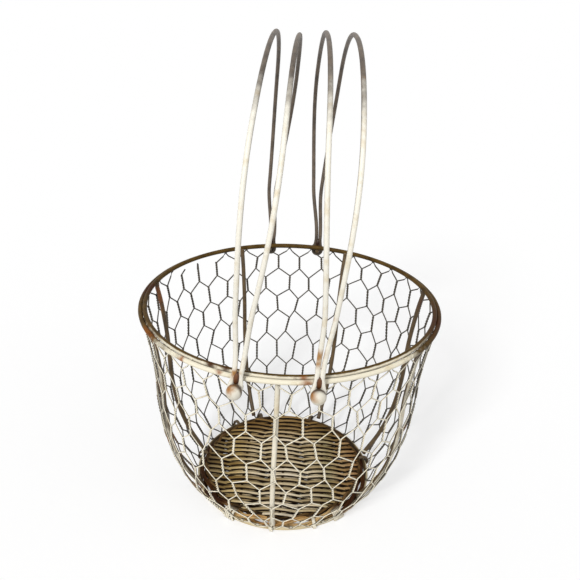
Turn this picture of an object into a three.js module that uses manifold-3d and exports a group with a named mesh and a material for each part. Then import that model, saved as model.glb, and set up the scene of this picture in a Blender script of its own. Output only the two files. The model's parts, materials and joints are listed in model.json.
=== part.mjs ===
// Wire egg basket with a woven base and two swinging double-wire handles.
// Millimetres, +Z up, the front of the basket faces -Y, the origin is on the ground under its middle.
import * as THREE from 'three';
import { mergeVertices } from 'three/addons/utils/BufferGeometryUtils.js';
import Module from 'manifold-3d';

const wasm = await Module();
wasm.setup();

// Clearance left between pieces that touch on the real basket
const SEAT_GAP = 0.3;

// Rim: two heavy wire rings, the smaller one lying inside and above the larger
const RIM_RADIUS = 140;
const RIM_HEIGHT = 197;
const RIM_WIRE = 4.5;
const INNER_RIM_INSET = 3.2;
const INNER_RIM_RISE = 3.6;

// Foot: one heavy wire ring that the basket stands on, a little to the front and left of the rim's middle
const FOOT_RADIUS = 88;
const FOOT_WIRE = 4.5;
const FOOT_TO_LEFT = 1.9;
const FOOT_TO_FRONT = 5;

// Ribs: bearings in degrees from the front, positive to the right. The front one leans to the left.
const RIB_TOP_BEARINGS = [-4, 58, 103, 154, 204, 258, 294];
const RIB_FOOT_BEARINGS = [-8, 58, 103, 154, 204, 258, 294];
const RIB_NAMES = ['front', 'front_right', 'right', 'back_right', 'back_left', 'left', 'front_left'];
const RIB_WIRE = 4;

// Netting: twisted poultry wire, whose cells grow narrower towards the foot
const NET_HALF_WIRE = 0.75;
const CELLS_ROUND = 35;
const CELL_ROWS = 7;
const NET_PANELS = 7;
const TWIST_SHARE = 0.64;
const NET_START_BEARING = 1;
const NET_FOOT_REACH = 3;
// Bowl outline: share of the height, then share of the way out from the foot to the rim
const BOWL_OUTLINE = [[0.04, 0.09], [0.15, 0.37], [0.31, 0.62], [0.5, 0.757], [0.71, 0.808], [0.9, 0.913]];

// Woven base and its border of two cane strands laid round each other
const STRAND_RADIUS = 2.4;
const STRAND_SPREAD = 2.6;
const BORDER_INSET = 6.8;
const CROSSINGS_PER_BAY = 2;
const MAT_RISE = 1.6;
const MAT_THICKNESS = 3.2;
const ROW_PITCH = 7.1;
const ROW_GROOVE = 1;
const WEAVE_RISE = 2.4;
const STAKE_SPACING = 40.5;
const MAT_TURN = -1.6;

// Handles: each one is a closed loop of wire that makes two arches
const HANDLE_WIRE = 4;
const HANDLE_HEIGHT = 245.6;
const HANDLE_PAST_RIM = 12.5;
const HANDLE_STRAIGHT = 111;
const HANDLE_SQUARENESS = 2.2;
const SPREAD_HEIGHT = 198;
const DRIFT_HEIGHT = 60;
const PINCH_HEIGHT = 13;
const PINCH_GAP = 0.4;
const NECK_DROP = 4.5;
const NECK_SPREAD = 0.5;
const BRAZE_HALF_LENGTH = 5;
const BRAZE_HALF_DEPTH = 1.8;
const BRAZE_HALF_WIDTH = 1.5;
const BRAZE_RISE = 1;
// Each handle, in shares of the rim's radius: how far to the right of the middle it is hung, half the width
// between its arches, and how far its legs are bent to the right. The lean to the right is in degrees.
const HANDLES = [
  { side: 'left', front: -0.288, back: -0.175, spread: 0.07, frontDrift: -0.019, backDrift: -0.053, lean: 6.4 },
  { side: 'right', front: 0.171, back: 0.206, spread: 0.083, frontDrift: 0.024, backDrift: -0.04, lean: 2.1 },
];

// Pivots: a wire pin under the rim with a ball on its outer end
const PIN_RADIUS = 2;
const PIN_PLAY = 0.4;
const BALL_RADIUS = 6.3;
const RIM_SIDE_PLAY = 0.5;
const EYE_HALF_WIDTH = 7.5;

// Number of faces round each wire and along each ring, and distance at which corners are one corner
const RING_SIDES = 8;
const RING_STEPS = 48;
const WIRE_SIDES = 6;
const ARCH_STEPS = 17;
const LEG_STEP_SHARE = 0.3;
const EYE_ANGLES = [-90, -50, -10, 30];
const STEPS_PER_CROSSING = 5;
const STEPS_PER_STAKE = 4;
const BALL_SIDES = 10;
const BALL_RINGS = 6;
const PIN_SIDES = 12;
const BRAZE_SIDES = 6;
const BRAZE_RINGS = 4;
const MERGE_DISTANCE = 1e-4;

const radians = THREE.MathUtils.degToRad;
const basket = new THREE.Group();

const ivoryWire = new THREE.MeshStandardMaterial({ color: 0xd9cdb4, roughness: 0.55, metalness: 0.35 });
const rimWire = new THREE.MeshStandardMaterial({ color: 0x8a7a58, roughness: 0.6, metalness: 0.45 });
const handleWire = new THREE.MeshStandardMaterial({ color: 0xb5aa95, roughness: 0.5, metalness: 0.45 });
const netWire = new THREE.MeshStandardMaterial({ color: 0xcfc3a8, roughness: 0.5, metalness: 0.5 });
const ballMetal = new THREE.MeshStandardMaterial({ color: 0xe4dccb, roughness: 0.5, metalness: 0.3 });
const wovenRush = new THREE.MeshStandardMaterial({ color: 0x8d7a5c, roughness: 0.9, metalness: 0 });
const borderCane = new THREE.MeshStandardMaterial({ color: 0xb2935c, roughness: 0.8, metalness: 0 });

function addPiece(name, geometry, material) {
  const mesh = new THREE.Mesh(geometry, material);
  mesh.name = name;
  basket.add(mesh);
  return mesh;
}

// A curve whose steps fall on its own points, so that tight bends get short steps
class PacedCurve extends THREE.CatmullRomCurve3 {
  getPointAt(share, target) {
    return this.getPoint(share, target);
  }

  getTangentAt(share, target) {
    return this.getTangent(share, target);
  }
}

function polygon(radius, sides, turn = 0) {
  const corners = [];
  for (let i = 0; i < sides; i += 1) {
    const angle = turn + (i * 2 * Math.PI) / sides;
    corners.push(new THREE.Vector2(radius * Math.cos(angle), radius * Math.sin(angle)));
  }
  return corners;
}

// A wire with closed ends along a list of points
function wireAlong(points, radius, sides) {
  const path = new PacedCurve(points, false, 'centripetal');
  const section = new THREE.Shape(polygon(radius, sides));
  return new THREE.ExtrudeGeometry(section, {
    steps: points.length - 1,
    extrudePath: path,
    bevelEnabled: false,
  });
}

// A wire that runs back into itself
function wireLoop(points, radius, sides) {
  const path = new PacedCurve(points, true, 'centripetal');
  return new THREE.TubeGeometry(path, points.length, radius, sides, true);
}

// A ring of wire about the Z axis, with one flat side facing down
function wireRing(ringRadius, wireDiameter, height) {
  const section = polygon(wireDiameter / 2, RING_SIDES, Math.PI / RING_SIDES - Math.PI / 2);
  const profile = section.map((corner) => new THREE.Vector2(ringRadius + corner.x, corner.y));
  profile.push(profile[0].clone());
  const ring = new THREE.LatheGeometry(profile, RING_STEPS);
  ring.rotateX(Math.PI / 2);
  ring.translate(0, 0, height);
  return ring;
}

// So far outwards at a bearing from the front, and so far up
function outwards(bearing, reach, rise) {
  return new THREE.Vector3(reach * Math.sin(bearing), -reach * Math.cos(bearing), rise);
}

// Point on the bowl, whose middle goes over from the middle of the rim to that of the foot on the way down
function placed(bearing, reach, height) {
  const drop = THREE.MathUtils.clamp((RIM_HEIGHT - height) / (RIM_HEIGHT - footHeight), 0, 1);
  return outwards(bearing, reach, height).addScaledVector(footMiddle, drop);
}

function toManifold(geometry) {
  const bare = new THREE.BufferGeometry();
  bare.setAttribute('position', geometry.getAttribute('position').clone());
  if (geometry.index) bare.setIndex(geometry.index.clone());
  const merged = mergeVertices(bare, MERGE_DISTANCE);
  return new wasm.Manifold(new wasm.Mesh({
    numProp: 3,
    vertProperties: new Float32Array(merged.getAttribute('position').array),
    triVerts: new Uint32Array(merged.index.array),
  }));
}

function fromManifold(solid) {
  const mesh = solid.getMesh();
  const geometry = new THREE.BufferGeometry();
  geometry.setAttribute('position', new THREE.BufferAttribute(new Float32Array(mesh.vertProperties), 3));
  geometry.setIndex(new THREE.BufferAttribute(new Uint32Array(mesh.triVerts), 1));
  geometry.computeVertexNormals();
  return geometry;
}

// Rim and foot rings
const flatOfRing = Math.cos(Math.PI / RING_SIDES);
const footHeight = (FOOT_WIRE / 2) * flatOfRing;
const footMiddle = new THREE.Vector3(-FOOT_TO_LEFT, -FOOT_TO_FRONT, 0);
addPiece('outer_rim_ring', wireRing(RIM_RADIUS, RIM_WIRE, RIM_HEIGHT), rimWire);
addPiece(
  'inner_rim_ring',
  wireRing(RIM_RADIUS - INNER_RIM_INSET, RIM_WIRE, RIM_HEIGHT + INNER_RIM_RISE),
  rimWire,
);
addPiece('foot_ring', wireRing(FOOT_RADIUS, FOOT_WIRE, footHeight), ivoryWire).position.copy(footMiddle);

// Bowl: the outline that the middle of the netting follows, from the rim down to the foot
const ribRadius = RIB_WIRE / 2;
const ribTopReach = RIM_RADIUS - RIM_WIRE / 2 - SEAT_GAP - ribRadius;
const netToRib = NET_HALF_WIRE + SEAT_GAP + ribRadius;
const netTop = new THREE.Vector2(ribTopReach + netToRib, RIM_HEIGHT - RIM_WIRE / 2 - SEAT_GAP - NET_HALF_WIRE);
const footContact = FOOT_WIRE / 2 + SEAT_GAP + NET_HALF_WIRE;
const netFootRise = Math.sqrt(footContact ** 2 - NET_FOOT_REACH ** 2);
const netFoot = new THREE.Vector2(FOOT_RADIUS + NET_FOOT_REACH, footHeight + netFootRise);

function bowlCurve() {
  const points = [netFoot.clone()];
  for (const [up, out] of BOWL_OUTLINE) {
    points.push(new THREE.Vector2(
      netFoot.x + (netTop.x - netFoot.x) * out,
      netFoot.y + (netTop.y - netFoot.y) * up,
    ));
  }
  points.push(netTop.clone());
  return new THREE.SplineCurve(points.reverse());
}

// Stations down the outline: the rim, the top and bottom of each twisted row, and the foot
function bowlStations() {
  const curve = bowlCurve();
  const rowShare = 1 / (CELL_ROWS + 1 - TWIST_SHARE);
  const shares = [0];
  for (let row = 0; row < CELL_ROWS; row += 1) {
    const top = rowShare * (row + 1 - TWIST_SHARE);
    shares.push(top, top + rowShare * TWIST_SHARE);
  }
  shares.push(1);
  return shares.map((share) => curve.getPointAt(share));
}

const stations = bowlStations();

// Outward direction of the stretch of outline that ends at a station
function stretchNormal(i) {
  const end = Math.min(Math.max(i, 1), stations.length - 1);
  const along = stations[end].clone().sub(stations[end - 1]).normalize();
  return new THREE.Vector2(-along.y, along.x);
}

const normals = stations.map((point, i) => stretchNormal(i).add(stretchNormal(i + 1)).normalize());

// Ribs run just inside the netting, from under the inner rim ring down onto the foot ring
function ribOutline() {
  const ribTop = RIM_HEIGHT + INNER_RIM_RISE - RIM_WIRE / 2 - SEAT_GAP;
  const outline = [new THREE.Vector2(ribTopReach, ribTop)];
  const inside = stations.map((point, i) => {
    const mitre = netToRib / normals[i].dot(stretchNormal(i));
    return point.clone().addScaledVector(normals[i], -mitre);
  });
  outline.push(...inside.slice(0, -1));
  const lean = stretchNormal(stations.length - 1);
  const ribFoot = 2 * footHeight + SEAT_GAP + ribRadius * Math.abs(lean.y);
  const last = outline[outline.length - 1];
  outline.push(new THREE.Vector2(last.x + ((last.y - ribFoot) * lean.y) / lean.x, ribFoot));
  return outline;
}

const ribPath = ribOutline();
const ribDrop = ribPath[0].y - ribPath[ribPath.length - 1].y;
RIB_NAMES.forEach((name, i) => {
  const points = ribPath.map((point) => {
    const drop = (ribPath[0].y - point.y) / ribDrop;
    const bearing = THREE.MathUtils.lerp(RIB_TOP_BEARINGS[i], RIB_FOOT_BEARINGS[i], drop);
    return placed(radians(bearing), point.x, point.y);
  });
  addPiece(`rib_${name}`, wireAlong(points, ribRadius, WIRE_SIDES), ivoryWire);
});

// Netting: every joint of the wire is a knot with links to its neighbours
function netKnots(firstColumn, columns) {
  const knots = [];
  const index = new Map();
  const columnAngle = Math.PI / CELLS_ROUND;
  const lastStation = stations.length - 1;
  const bearingOf = (column) => radians(NET_START_BEARING) + column * columnAngle;
  const isKnot = (station, column) => {
    const row = station === 0 ? -1 : Math.floor((station - 1) / 2);
    const shown = station === lastStation ? CELL_ROWS : row;
    return Math.abs(column % 2) === Math.abs(shown % 2);
  };
  const add = (position, normal) => {
    knots.push({ position, normal, links: [] });
    return knots.length - 1;
  };
  const surfaceNormal = (station, bearing) => outwards(bearing, normals[station].x, normals[station].y);
  for (let station = 0; station <= lastStation; station += 1) {
    for (let column = firstColumn; column < firstColumn + columns; column += 1) {
      if (isKnot(station, column)) {
        const bearing = bearingOf(column);
        const point = stations[station];
        index.set(`${station},${column}`, add(
          placed(bearing, point.x, point.y),
          surfaceNormal(station, bearing),
        ));
      }
    }
  }
  const link = (a, b) => {
    knots[a].links.push(b);
    knots[b].links.push(a);
  };
  // A link that leaves the panel ends half way, short of the next panel's end
  const endLink = (from, nextStation, nextColumn) => {
    const point = stations[nextStation];
    const target = placed(bearingOf(nextColumn), point.x, point.y);
    const start = knots[from].position;
    const length = start.distanceTo(target);
    const end = start.clone().lerp(target, 0.5 - SEAT_GAP / 2 / length);
    const normal = knots[from].normal.clone().add(surfaceNormal(nextStation, bearingOf(nextColumn)));
    link(from, add(end, normal.normalize()));
  };
  for (const [key, from] of [...index]) {
    const [station, column] = key.split(',').map(Number);
    const isTwistTop = station % 2 === 1 && station < lastStation;
    if (isTwistTop) link(from, index.get(`${station + 1},${column}`));
    const neighbours = [];
    if (station % 2 === 0 && station < lastStation) neighbours.push(station + 1);
    if (station % 2 === 1) neighbours.push(station - 1);
    for (const next of neighbours) {
      for (const side of [-1, 1]) {
        const to = index.get(`${next},${column + side}`);
        if (to === undefined) endLink(from, next, column + side);
        else if (next > station) link(from, to);
      }
    }
  }
  return knots;
}

// Each link has a ridge outside, a ridge inside and a line of corners along each side of it
function netGeometry(knots) {
  const vertices = [];
  const faces = [];
  const addVertex = (v) => {
    vertices.push(v.x, v.y, v.z);
    return vertices.length / 3 - 1;
  };
  for (const knot of knots) {
    const { position, normal } = knot;
    const east = new THREE.Vector3(0, 0, 1).cross(normal).normalize();
    const up = normal.clone().cross(east);
    const angleTo = (other) => {
      const step = knots[other].position.clone().sub(position);
      return Math.atan2(step.dot(up), step.dot(east));
    };
    knot.order = knot.links.map((other) => ({ other, angle: angleTo(other) })).sort((a, b) => a.angle - b.angle);
    knot.outer = addVertex(position.clone().addScaledVector(normal, NET_HALF_WIRE));
    knot.inner = addVertex(position.clone().addScaledVector(normal, -NET_HALF_WIRE));
    const cornerAt = (angle, distance) => addVertex(position.clone()
      .addScaledVector(east, distance * Math.cos(angle))
      .addScaledVector(up, distance * Math.sin(angle)));
    // The corner to the left of a link lies half way round to the next link
    knot.left = new Map();
    knot.right = new Map();
    if (knot.order.length === 1) {
      const { other, angle } = knot.order[0];
      knot.left.set(other, cornerAt(angle + Math.PI / 2, NET_HALF_WIRE));
      knot.right.set(other, cornerAt(angle - Math.PI / 2, NET_HALF_WIRE));
      continue;
    }
    knot.order.forEach((item, i) => {
      const next = knot.order[(i + 1) % knot.order.length];
      let gap = next.angle - item.angle;
      if (gap <= 0) gap += 2 * Math.PI;
      const corner = cornerAt(item.angle + gap / 2, NET_HALF_WIRE / Math.sin(gap / 2));
      knot.left.set(item.other, corner);
      knot.right.set(next.other, corner);
    });
  }
  const quad = (a, b, c, d) => faces.push(a, b, c, a, c, d);
  knots.forEach((knot, a) => {
    for (const b of knot.links) {
      if (b < a) continue;
      const far = knots[b];
      const leftNear = knot.left.get(b);
      const leftFar = far.right.get(a);
      const rightNear = knot.right.get(b);
      const rightFar = far.left.get(a);
      quad(knot.outer, far.outer, leftFar, leftNear);
      quad(knot.outer, rightNear, rightFar, far.outer);
      quad(knot.inner, leftNear, leftFar, far.inner);
      quad(knot.inner, far.inner, rightFar, rightNear);
    }
    if (knot.links.length === 1) {
      const only = knot.links[0];
      quad(knot.outer, knot.left.get(only), knot.inner, knot.right.get(only));
    }
  });
  const geometry = new THREE.BufferGeometry();
  geometry.setAttribute('position', new THREE.Float32BufferAttribute(vertices, 3));
  geometry.setIndex(faces);
  geometry.computeVertexNormals();
  return geometry;
}

const columnsPerPanel = (2 * CELLS_ROUND) / NET_PANELS;
for (let panel = 0; panel < NET_PANELS; panel += 1) {
  const knots = netKnots(panel * columnsPerPanel, columnsPerPanel);
  addPiece(`netting_panel_${panel + 1}`, netGeometry(knots), netWire);
}

// Border: two strands that change places between the ribs, and lie one above the other at each rib
const borderReach = FOOT_RADIUS - BORDER_INSET;
const borderToFoot = STRAND_SPREAD + STRAND_RADIUS + SEAT_GAP + FOOT_WIRE / 2;
const borderHeight = footHeight + Math.sqrt(borderToFoot ** 2 - BORDER_INSET ** 2);

function borderStrand(phase) {
  const points = [];
  const steps = CROSSINGS_PER_BAY * STEPS_PER_CROSSING;
  RIB_FOOT_BEARINGS.forEach((start, bay) => {
    const next = bay + 1 < RIB_FOOT_BEARINGS.length ? RIB_FOOT_BEARINGS[bay + 1] : RIB_FOOT_BEARINGS[0] + 360;
    for (let step = 0; step < steps; step += 1) {
      const bearing = radians(start + ((next - start) * step) / steps);
      const turn = phase + Math.PI * (bay * CROSSINGS_PER_BAY + step / STEPS_PER_CROSSING);
      const reach = borderReach + STRAND_SPREAD * Math.sin(turn);
      points.push(outwards(bearing, reach, borderHeight + STRAND_SPREAD * Math.cos(turn)));
    }
  });
  return wireLoop(points, STRAND_RADIUS, WIRE_SIDES);
}

addPiece('border_strand_a', borderStrand(0), borderCane).position.copy(footMiddle);
addPiece('border_strand_b', borderStrand(Math.PI), borderCane).position.copy(footMiddle);

// Woven base: a round mat of rush twined in rows from left to right. Each row rises over the hidden
// stakes and dips between them, and a groove lies between two rows.
const matRadius = borderReach - STRAND_SPREAD - STRAND_RADIUS - SEAT_GAP;

function wovenMat() {
  const stepLength = STAKE_SPACING / STEPS_PER_STAKE;
  const columns = 2 * Math.ceil(matRadius / stepLength);
  const lines = 2 * Math.ceil((2 * matRadius) / ROW_PITCH);
  const slab = new THREE.BoxGeometry(
    columns * stepLength,
    (lines * ROW_PITCH) / 2,
    MAT_THICKNESS,
    columns,
    lines,
  );
  const corners = slab.getAttribute('position');
  for (let i = 0; i < corners.count; i += 1) {
    const line = Math.round((2 * corners.getY(i)) / ROW_PITCH);
    const rise = WEAVE_RISE * Math.abs(Math.cos((Math.PI * corners.getX(i)) / STAKE_SPACING));
    const groove = line % 2 === 0 ? 0 : ROW_GROOVE;
    corners.setZ(i, Math.sign(corners.getZ(i)) * (MAT_THICKNESS / 2 + rise - groove));
  }
  const disc = new THREE.CylinderGeometry(matRadius, matRadius, MAT_THICKNESS + 3 * WEAVE_RISE, RING_STEPS);
  disc.rotateX(Math.PI / 2);
  return fromManifold(toManifold(slab).intersect(toManifold(disc)));
}

const mat = addPiece('woven_base', wovenMat(), wovenRush);
mat.position.set(footMiddle.x, footMiddle.y, borderHeight + MAT_RISE);
mat.rotation.z = radians(MAT_TURN);

// Pivots and handles
const hingeHeight = RIM_HEIGHT - RIM_WIRE / 2 - SEAT_GAP - PIN_RADIUS;
const handleRadius = HANDLE_WIRE / 2;
const eyeRadius = PIN_RADIUS + PIN_PLAY + handleRadius;
const ballToEye = Math.sqrt((BALL_RADIUS + handleRadius + SEAT_GAP) ** 2 - eyeRadius ** 2);
const handleHalfWidth = RIM_RADIUS + HANDLE_PAST_RIM;

// Distance from the middle of the basket at which a handle's eye clears the rim
function eyeReach(x) {
  const nearest = Math.abs(x) - EYE_HALF_WIDTH;
  return Math.sqrt(RIM_RADIUS ** 2 - nearest ** 2) + RIM_WIRE / 2 + RIM_SIDE_PLAY + handleRadius;
}

// A pin starts under the outer rim ring, just outside the netting
function pinRoot(x) {
  const clear = netTop.x + NET_HALF_WIRE + SEAT_GAP;
  return Math.sqrt(clear ** 2 - (Math.abs(x) - PIN_RADIUS) ** 2);
}

function ballGeometry() {
  const bore = PIN_RADIUS + SEAT_GAP;
  const mouth = Math.sqrt(BALL_RADIUS ** 2 - bore ** 2);
  const profile = [new THREE.Vector2(0, 0), new THREE.Vector2(bore, 0), new THREE.Vector2(bore, mouth)];
  const startAngle = Math.atan2(mouth, bore);
  for (let i = 1; i <= BALL_RINGS; i += 1) {
    const angle = startAngle - ((startAngle + Math.PI / 2) * i) / BALL_RINGS;
    profile.push(new THREE.Vector2(BALL_RADIUS * Math.cos(angle), BALL_RADIUS * Math.sin(angle)));
  }
  profile[profile.length - 1].x = 0;
  return new THREE.LatheGeometry(profile.reverse(), BALL_SIDES);
}

// Half of one arch seen square on: how far along the hinge and how high, from the pinch to the top
function archPoint(share) {
  if (share < LEG_STEP_SHARE) {
    const t = share / LEG_STEP_SHARE;
    const ease = t * t * (3 - 2 * t);
    const height = PINCH_HEIGHT + (HANDLE_STRAIGHT - PINCH_HEIGHT) * t;
    return { ease, height, across: 1 };
  }
  const angle = ((share - LEG_STEP_SHARE) / (1 - LEG_STEP_SHARE)) * (Math.PI / 2);
  const power = 2 / HANDLE_SQUARENESS;
  return {
    ease: 1,
    height: HANDLE_STRAIGHT + (HANDLE_HEIGHT - HANDLE_STRAIGHT) * Math.sin(angle) ** power,
    across: Math.cos(angle) ** power,
  };
}

// Closed loop of the handle: along the hinge, sideways from its middle plane, and up
function handleLoop(halfHinge, { spread: spreadShare, frontDrift, backDrift }) {
  const pinchHalf = handleRadius + PINCH_GAP / 2;
  const half = [];
  for (const degrees of EYE_ANGLES) {
    const angle = radians(degrees);
    half.push([halfHinge, eyeRadius * Math.cos(angle), eyeRadius * Math.sin(angle)]);
  }
  half.push([halfHinge, pinchHalf + NECK_SPREAD, PINCH_HEIGHT - NECK_DROP]);
  for (let i = 0; i <= ARCH_STEPS; i += 1) {
    const { ease, height, across } = archPoint(i / ARCH_STEPS);
    const rise = THREE.MathUtils.smoothstep(height, PINCH_HEIGHT, SPREAD_HEIGHT);
    const spread = THREE.MathUtils.lerp(pinchHalf, spreadShare * RIM_RADIUS, rise);
    const along = THREE.MathUtils.lerp(halfHinge, handleHalfWidth, ease) * across;
    half.push([along, spread, height]);
  }
  const arch = [...half, ...half.slice(0, -1).reverse().map(([a, s, h]) => [-a, s, h])];
  const other = arch.slice(1, -1).reverse().map(([a, s, h]) => [a, -s, h]);
  return [...arch, ...other].map(([along, spread, height]) => {
    const toBack = (1 + along / handleHalfWidth) / 2;
    const bent = THREE.MathUtils.smoothstep(height, PINCH_HEIGHT, PINCH_HEIGHT + DRIFT_HEIGHT);
    const drift = THREE.MathUtils.lerp(frontDrift, backDrift, toBack) * RIM_RADIUS * bent;
    return new THREE.Vector3(spread + drift, along, height);
  });
}

// Braze that fills the valley between the two wires just above an eye
function brazeLump(along) {
  const lump = new THREE.SphereGeometry(1, BRAZE_SIDES, BRAZE_RINGS);
  lump.scale(BRAZE_HALF_DEPTH, BRAZE_HALF_WIDTH, BRAZE_HALF_LENGTH);
  lump.translate(0, along, PINCH_HEIGHT + BRAZE_RISE);
  return lump;
}

for (const handleFacts of HANDLES) {
  const { side, lean } = handleFacts;
  const frontX = handleFacts.front * RIM_RADIUS;
  const backX = handleFacts.back * RIM_RADIUS;
  const front = new THREE.Vector3(frontX, -eyeReach(frontX), hingeHeight);
  const back = new THREE.Vector3(backX, eyeReach(backX), hingeHeight);
  const halfHinge = front.distanceTo(back) / 2;
  const swing = new THREE.Group();
  swing.position.copy(front).lerp(back, 0.5);
  swing.rotation.order = 'ZYX';
  swing.rotation.z = Math.atan2(-(backX - frontX), back.y - front.y);
  swing.rotation.y = radians(lean);
  let solid = toManifold(wireLoop(handleLoop(halfHinge, handleFacts), handleRadius, WIRE_SIDES));
  solid = solid.add(toManifold(brazeLump(halfHinge))).add(toManifold(brazeLump(-halfHinge)));
  const handle = new THREE.Mesh(fromManifold(solid), handleWire);
  handle.name = `${side}_handle`;
  swing.add(handle);
  basket.add(swing);

  for (const [end, x, facing] of [['front', frontX, -1], ['back', backX, 1]]) {
    const hinge = new THREE.Group();
    hinge.position.set(x, facing * eyeReach(x), hingeHeight);
    hinge.rotation.z = swing.rotation.z;
    const root = pinRoot(x) - eyeReach(x);
    const tip = ballToEye - SEAT_GAP;
    const pin = new THREE.Mesh(new THREE.CylinderGeometry(PIN_RADIUS, PIN_RADIUS, tip - root, PIN_SIDES), ivoryWire);
    pin.name = `${side}_${end}_pivot_pin`;
    pin.position.y = (facing * (tip + root)) / 2;
    const ball = new THREE.Mesh(ballGeometry(), ballMetal);
    ball.name = `${side}_${end}_ball`;
    ball.position.y = facing * ballToEye;
    ball.rotation.x = facing > 0 ? Math.PI : 0;
    hinge.add(pin, ball);
    basket.add(hinge);
  }
}

export default basket;
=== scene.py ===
"""Wire egg basket: its finish, its netting, its woven base and its handles, in metres, +Z up, front to -Y."""

import json

import bpy
import numpy as np
from mathutils import Matrix, Vector


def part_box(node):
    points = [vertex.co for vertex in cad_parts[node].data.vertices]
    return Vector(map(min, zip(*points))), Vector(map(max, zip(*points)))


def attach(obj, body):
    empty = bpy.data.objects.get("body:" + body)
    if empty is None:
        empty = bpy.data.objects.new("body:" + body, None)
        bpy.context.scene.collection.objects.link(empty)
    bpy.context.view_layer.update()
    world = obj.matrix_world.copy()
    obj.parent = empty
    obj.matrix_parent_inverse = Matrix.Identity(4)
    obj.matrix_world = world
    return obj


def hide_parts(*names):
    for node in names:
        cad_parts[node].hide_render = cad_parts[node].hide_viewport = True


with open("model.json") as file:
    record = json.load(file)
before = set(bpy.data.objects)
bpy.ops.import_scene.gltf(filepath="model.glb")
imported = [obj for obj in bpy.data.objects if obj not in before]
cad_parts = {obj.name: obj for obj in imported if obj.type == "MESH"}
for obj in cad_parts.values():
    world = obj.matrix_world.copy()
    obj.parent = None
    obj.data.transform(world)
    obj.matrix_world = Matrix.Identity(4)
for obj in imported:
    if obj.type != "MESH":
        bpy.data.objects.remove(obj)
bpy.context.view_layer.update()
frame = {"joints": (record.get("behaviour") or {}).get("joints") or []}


# Camera. It looks down into the bowl from the front, and leans a little to the left.
# The middle of the rim is seen at one named pixel of a picture 580 pixels wide.
PICTURE_WIDTH = 580
FOCAL_LENGTH_IN_PIXELS = 692.6
RIM_MIDDLE_PIXEL = (290.6, 300.4)
CAMERA_DISTANCE = 0.660
CAMERA_ELEVATION = np.radians(26.5)
CAMERA_ROLL = np.radians(-1.9)
SENSOR_WIDTH = 36.0
BETWEEN_HOOPS = 0.0015

outer_rim_low, outer_rim_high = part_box("outer_rim_ring")
rim_height = (outer_rim_low.z + outer_rim_high.z) / 2
rim_middle = Vector((0, 0, rim_height + BETWEEN_HOOPS))


def new_object(name, data):
    """An object made of that data, at the origin, in the scene."""
    thing = bpy.data.objects.new(name, data)
    bpy.context.scene.collection.objects.link(thing)
    return thing


def turned(direction, axis, angle):
    """The direction, turned about the axis by the angle, by the right hand rule."""
    return Matrix.Rotation(angle, 3, axis) @ direction


def angle_off_centre(pixel):
    """Angle between the middle of the picture and a pixel: the arc tangent of their distance over the
    focal length."""
    return float(np.arctan((pixel - PICTURE_WIDTH / 2) / FOCAL_LENGTH_IN_PIXELS))


rightward = Vector((1, 0, 0))
forward = Vector((0, np.cos(CAMERA_ELEVATION), -np.sin(CAMERA_ELEVATION)))
upward = rightward.cross(forward)
camera_place = rim_middle - forward * CAMERA_DISTANCE
yaw, pitch = (angle_off_centre(pixel) for pixel in RIM_MIDDLE_PIXEL)
forward, rightward = turned(forward, upward, yaw), turned(rightward, upward, yaw)
forward, upward = turned(forward, rightward, pitch), turned(upward, rightward, pitch)
rightward, upward = turned(rightward, forward, CAMERA_ROLL), turned(upward, forward, CAMERA_ROLL)

camera_data = bpy.data.cameras.new("camera")
camera_data.sensor_width = SENSOR_WIDTH
camera_data.lens = FOCAL_LENGTH_IN_PIXELS / PICTURE_WIDTH * SENSOR_WIDTH
camera = new_object("camera", camera_data)
camera_turn = Matrix((rightward, upward, -forward)).transposed().to_4x4()
camera.matrix_world = Matrix.Translation(camera_place) @ camera_turn
bpy.context.scene.camera = camera


# Studio. A wide pale floor, two soft lamps as far off as the sun, and a white surround.
# The floor and the surround both look white, and the floor keeps the shadow.
FLOOR_RADIUS = 12.0
FLOOR_SIDES = 96
FLOOR_SHADE = 0.62
SURROUND_LIGHT = 0.36
LAMPS = {
    "front_lamp": {"bearing": -28.0, "elevation": 36.0, "brightness": 0.68, "softness": 14.0},
    "side_lamp": {"bearing": 55.0, "elevation": 42.0, "brightness": 0.14, "softness": 50.0},
}
floor_lamplight = sum(lamp["brightness"] * np.sin(np.radians(lamp["elevation"])) for lamp in LAMPS.values())
floor_glow_needed = 1 - FLOOR_SHADE * (SURROUND_LIGHT + floor_lamplight)


def add_node(tree, kind, **values):
    """One shader node. Each value is a setting of the node, or goes to the input of that name, where i0, i1
    and i2 stand for the first three. It is a number, a colour or another node's output."""
    node = tree.nodes.new(kind)
    for name, value in values.items():
        if hasattr(node, name):
            setattr(node, name, value)
            continue
        socket = node.inputs[int(name[1:])] if name[1:].isdigit() else node.inputs[name.replace("_", " ")]
        if isinstance(value, bpy.types.NodeSocket):
            tree.links.new(value, socket)
        else:
            socket.default_value = value
    return node


def maths(tree, operation, *terms, **settings):
    """What a Math node works out from up to three terms, which are numbers or other nodes' outputs."""
    inputs = {f"i{place}": term for place, term in enumerate(terms)}
    return add_node(tree, "ShaderNodeMath", operation=operation, **inputs, **settings).outputs[0]


def seen_directly(tree):
    """1 for camera, glossy and transmission rays and 0 for the rays that light the object."""
    rays = add_node(tree, "ShaderNodeLightPath").outputs
    first_two = maths(tree, "ADD", rays["Is Camera Ray"], rays["Is Glossy Ray"])
    return maths(tree, "ADD", first_two, rays["Is Transmission Ray"], use_clamp=True)


def empty_material(name):
    """A new material without nodes, and its node tree."""
    material = bpy.data.materials.new(name)
    material.use_nodes = True
    material.node_tree.nodes.clear()
    return material, material.node_tree


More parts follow.
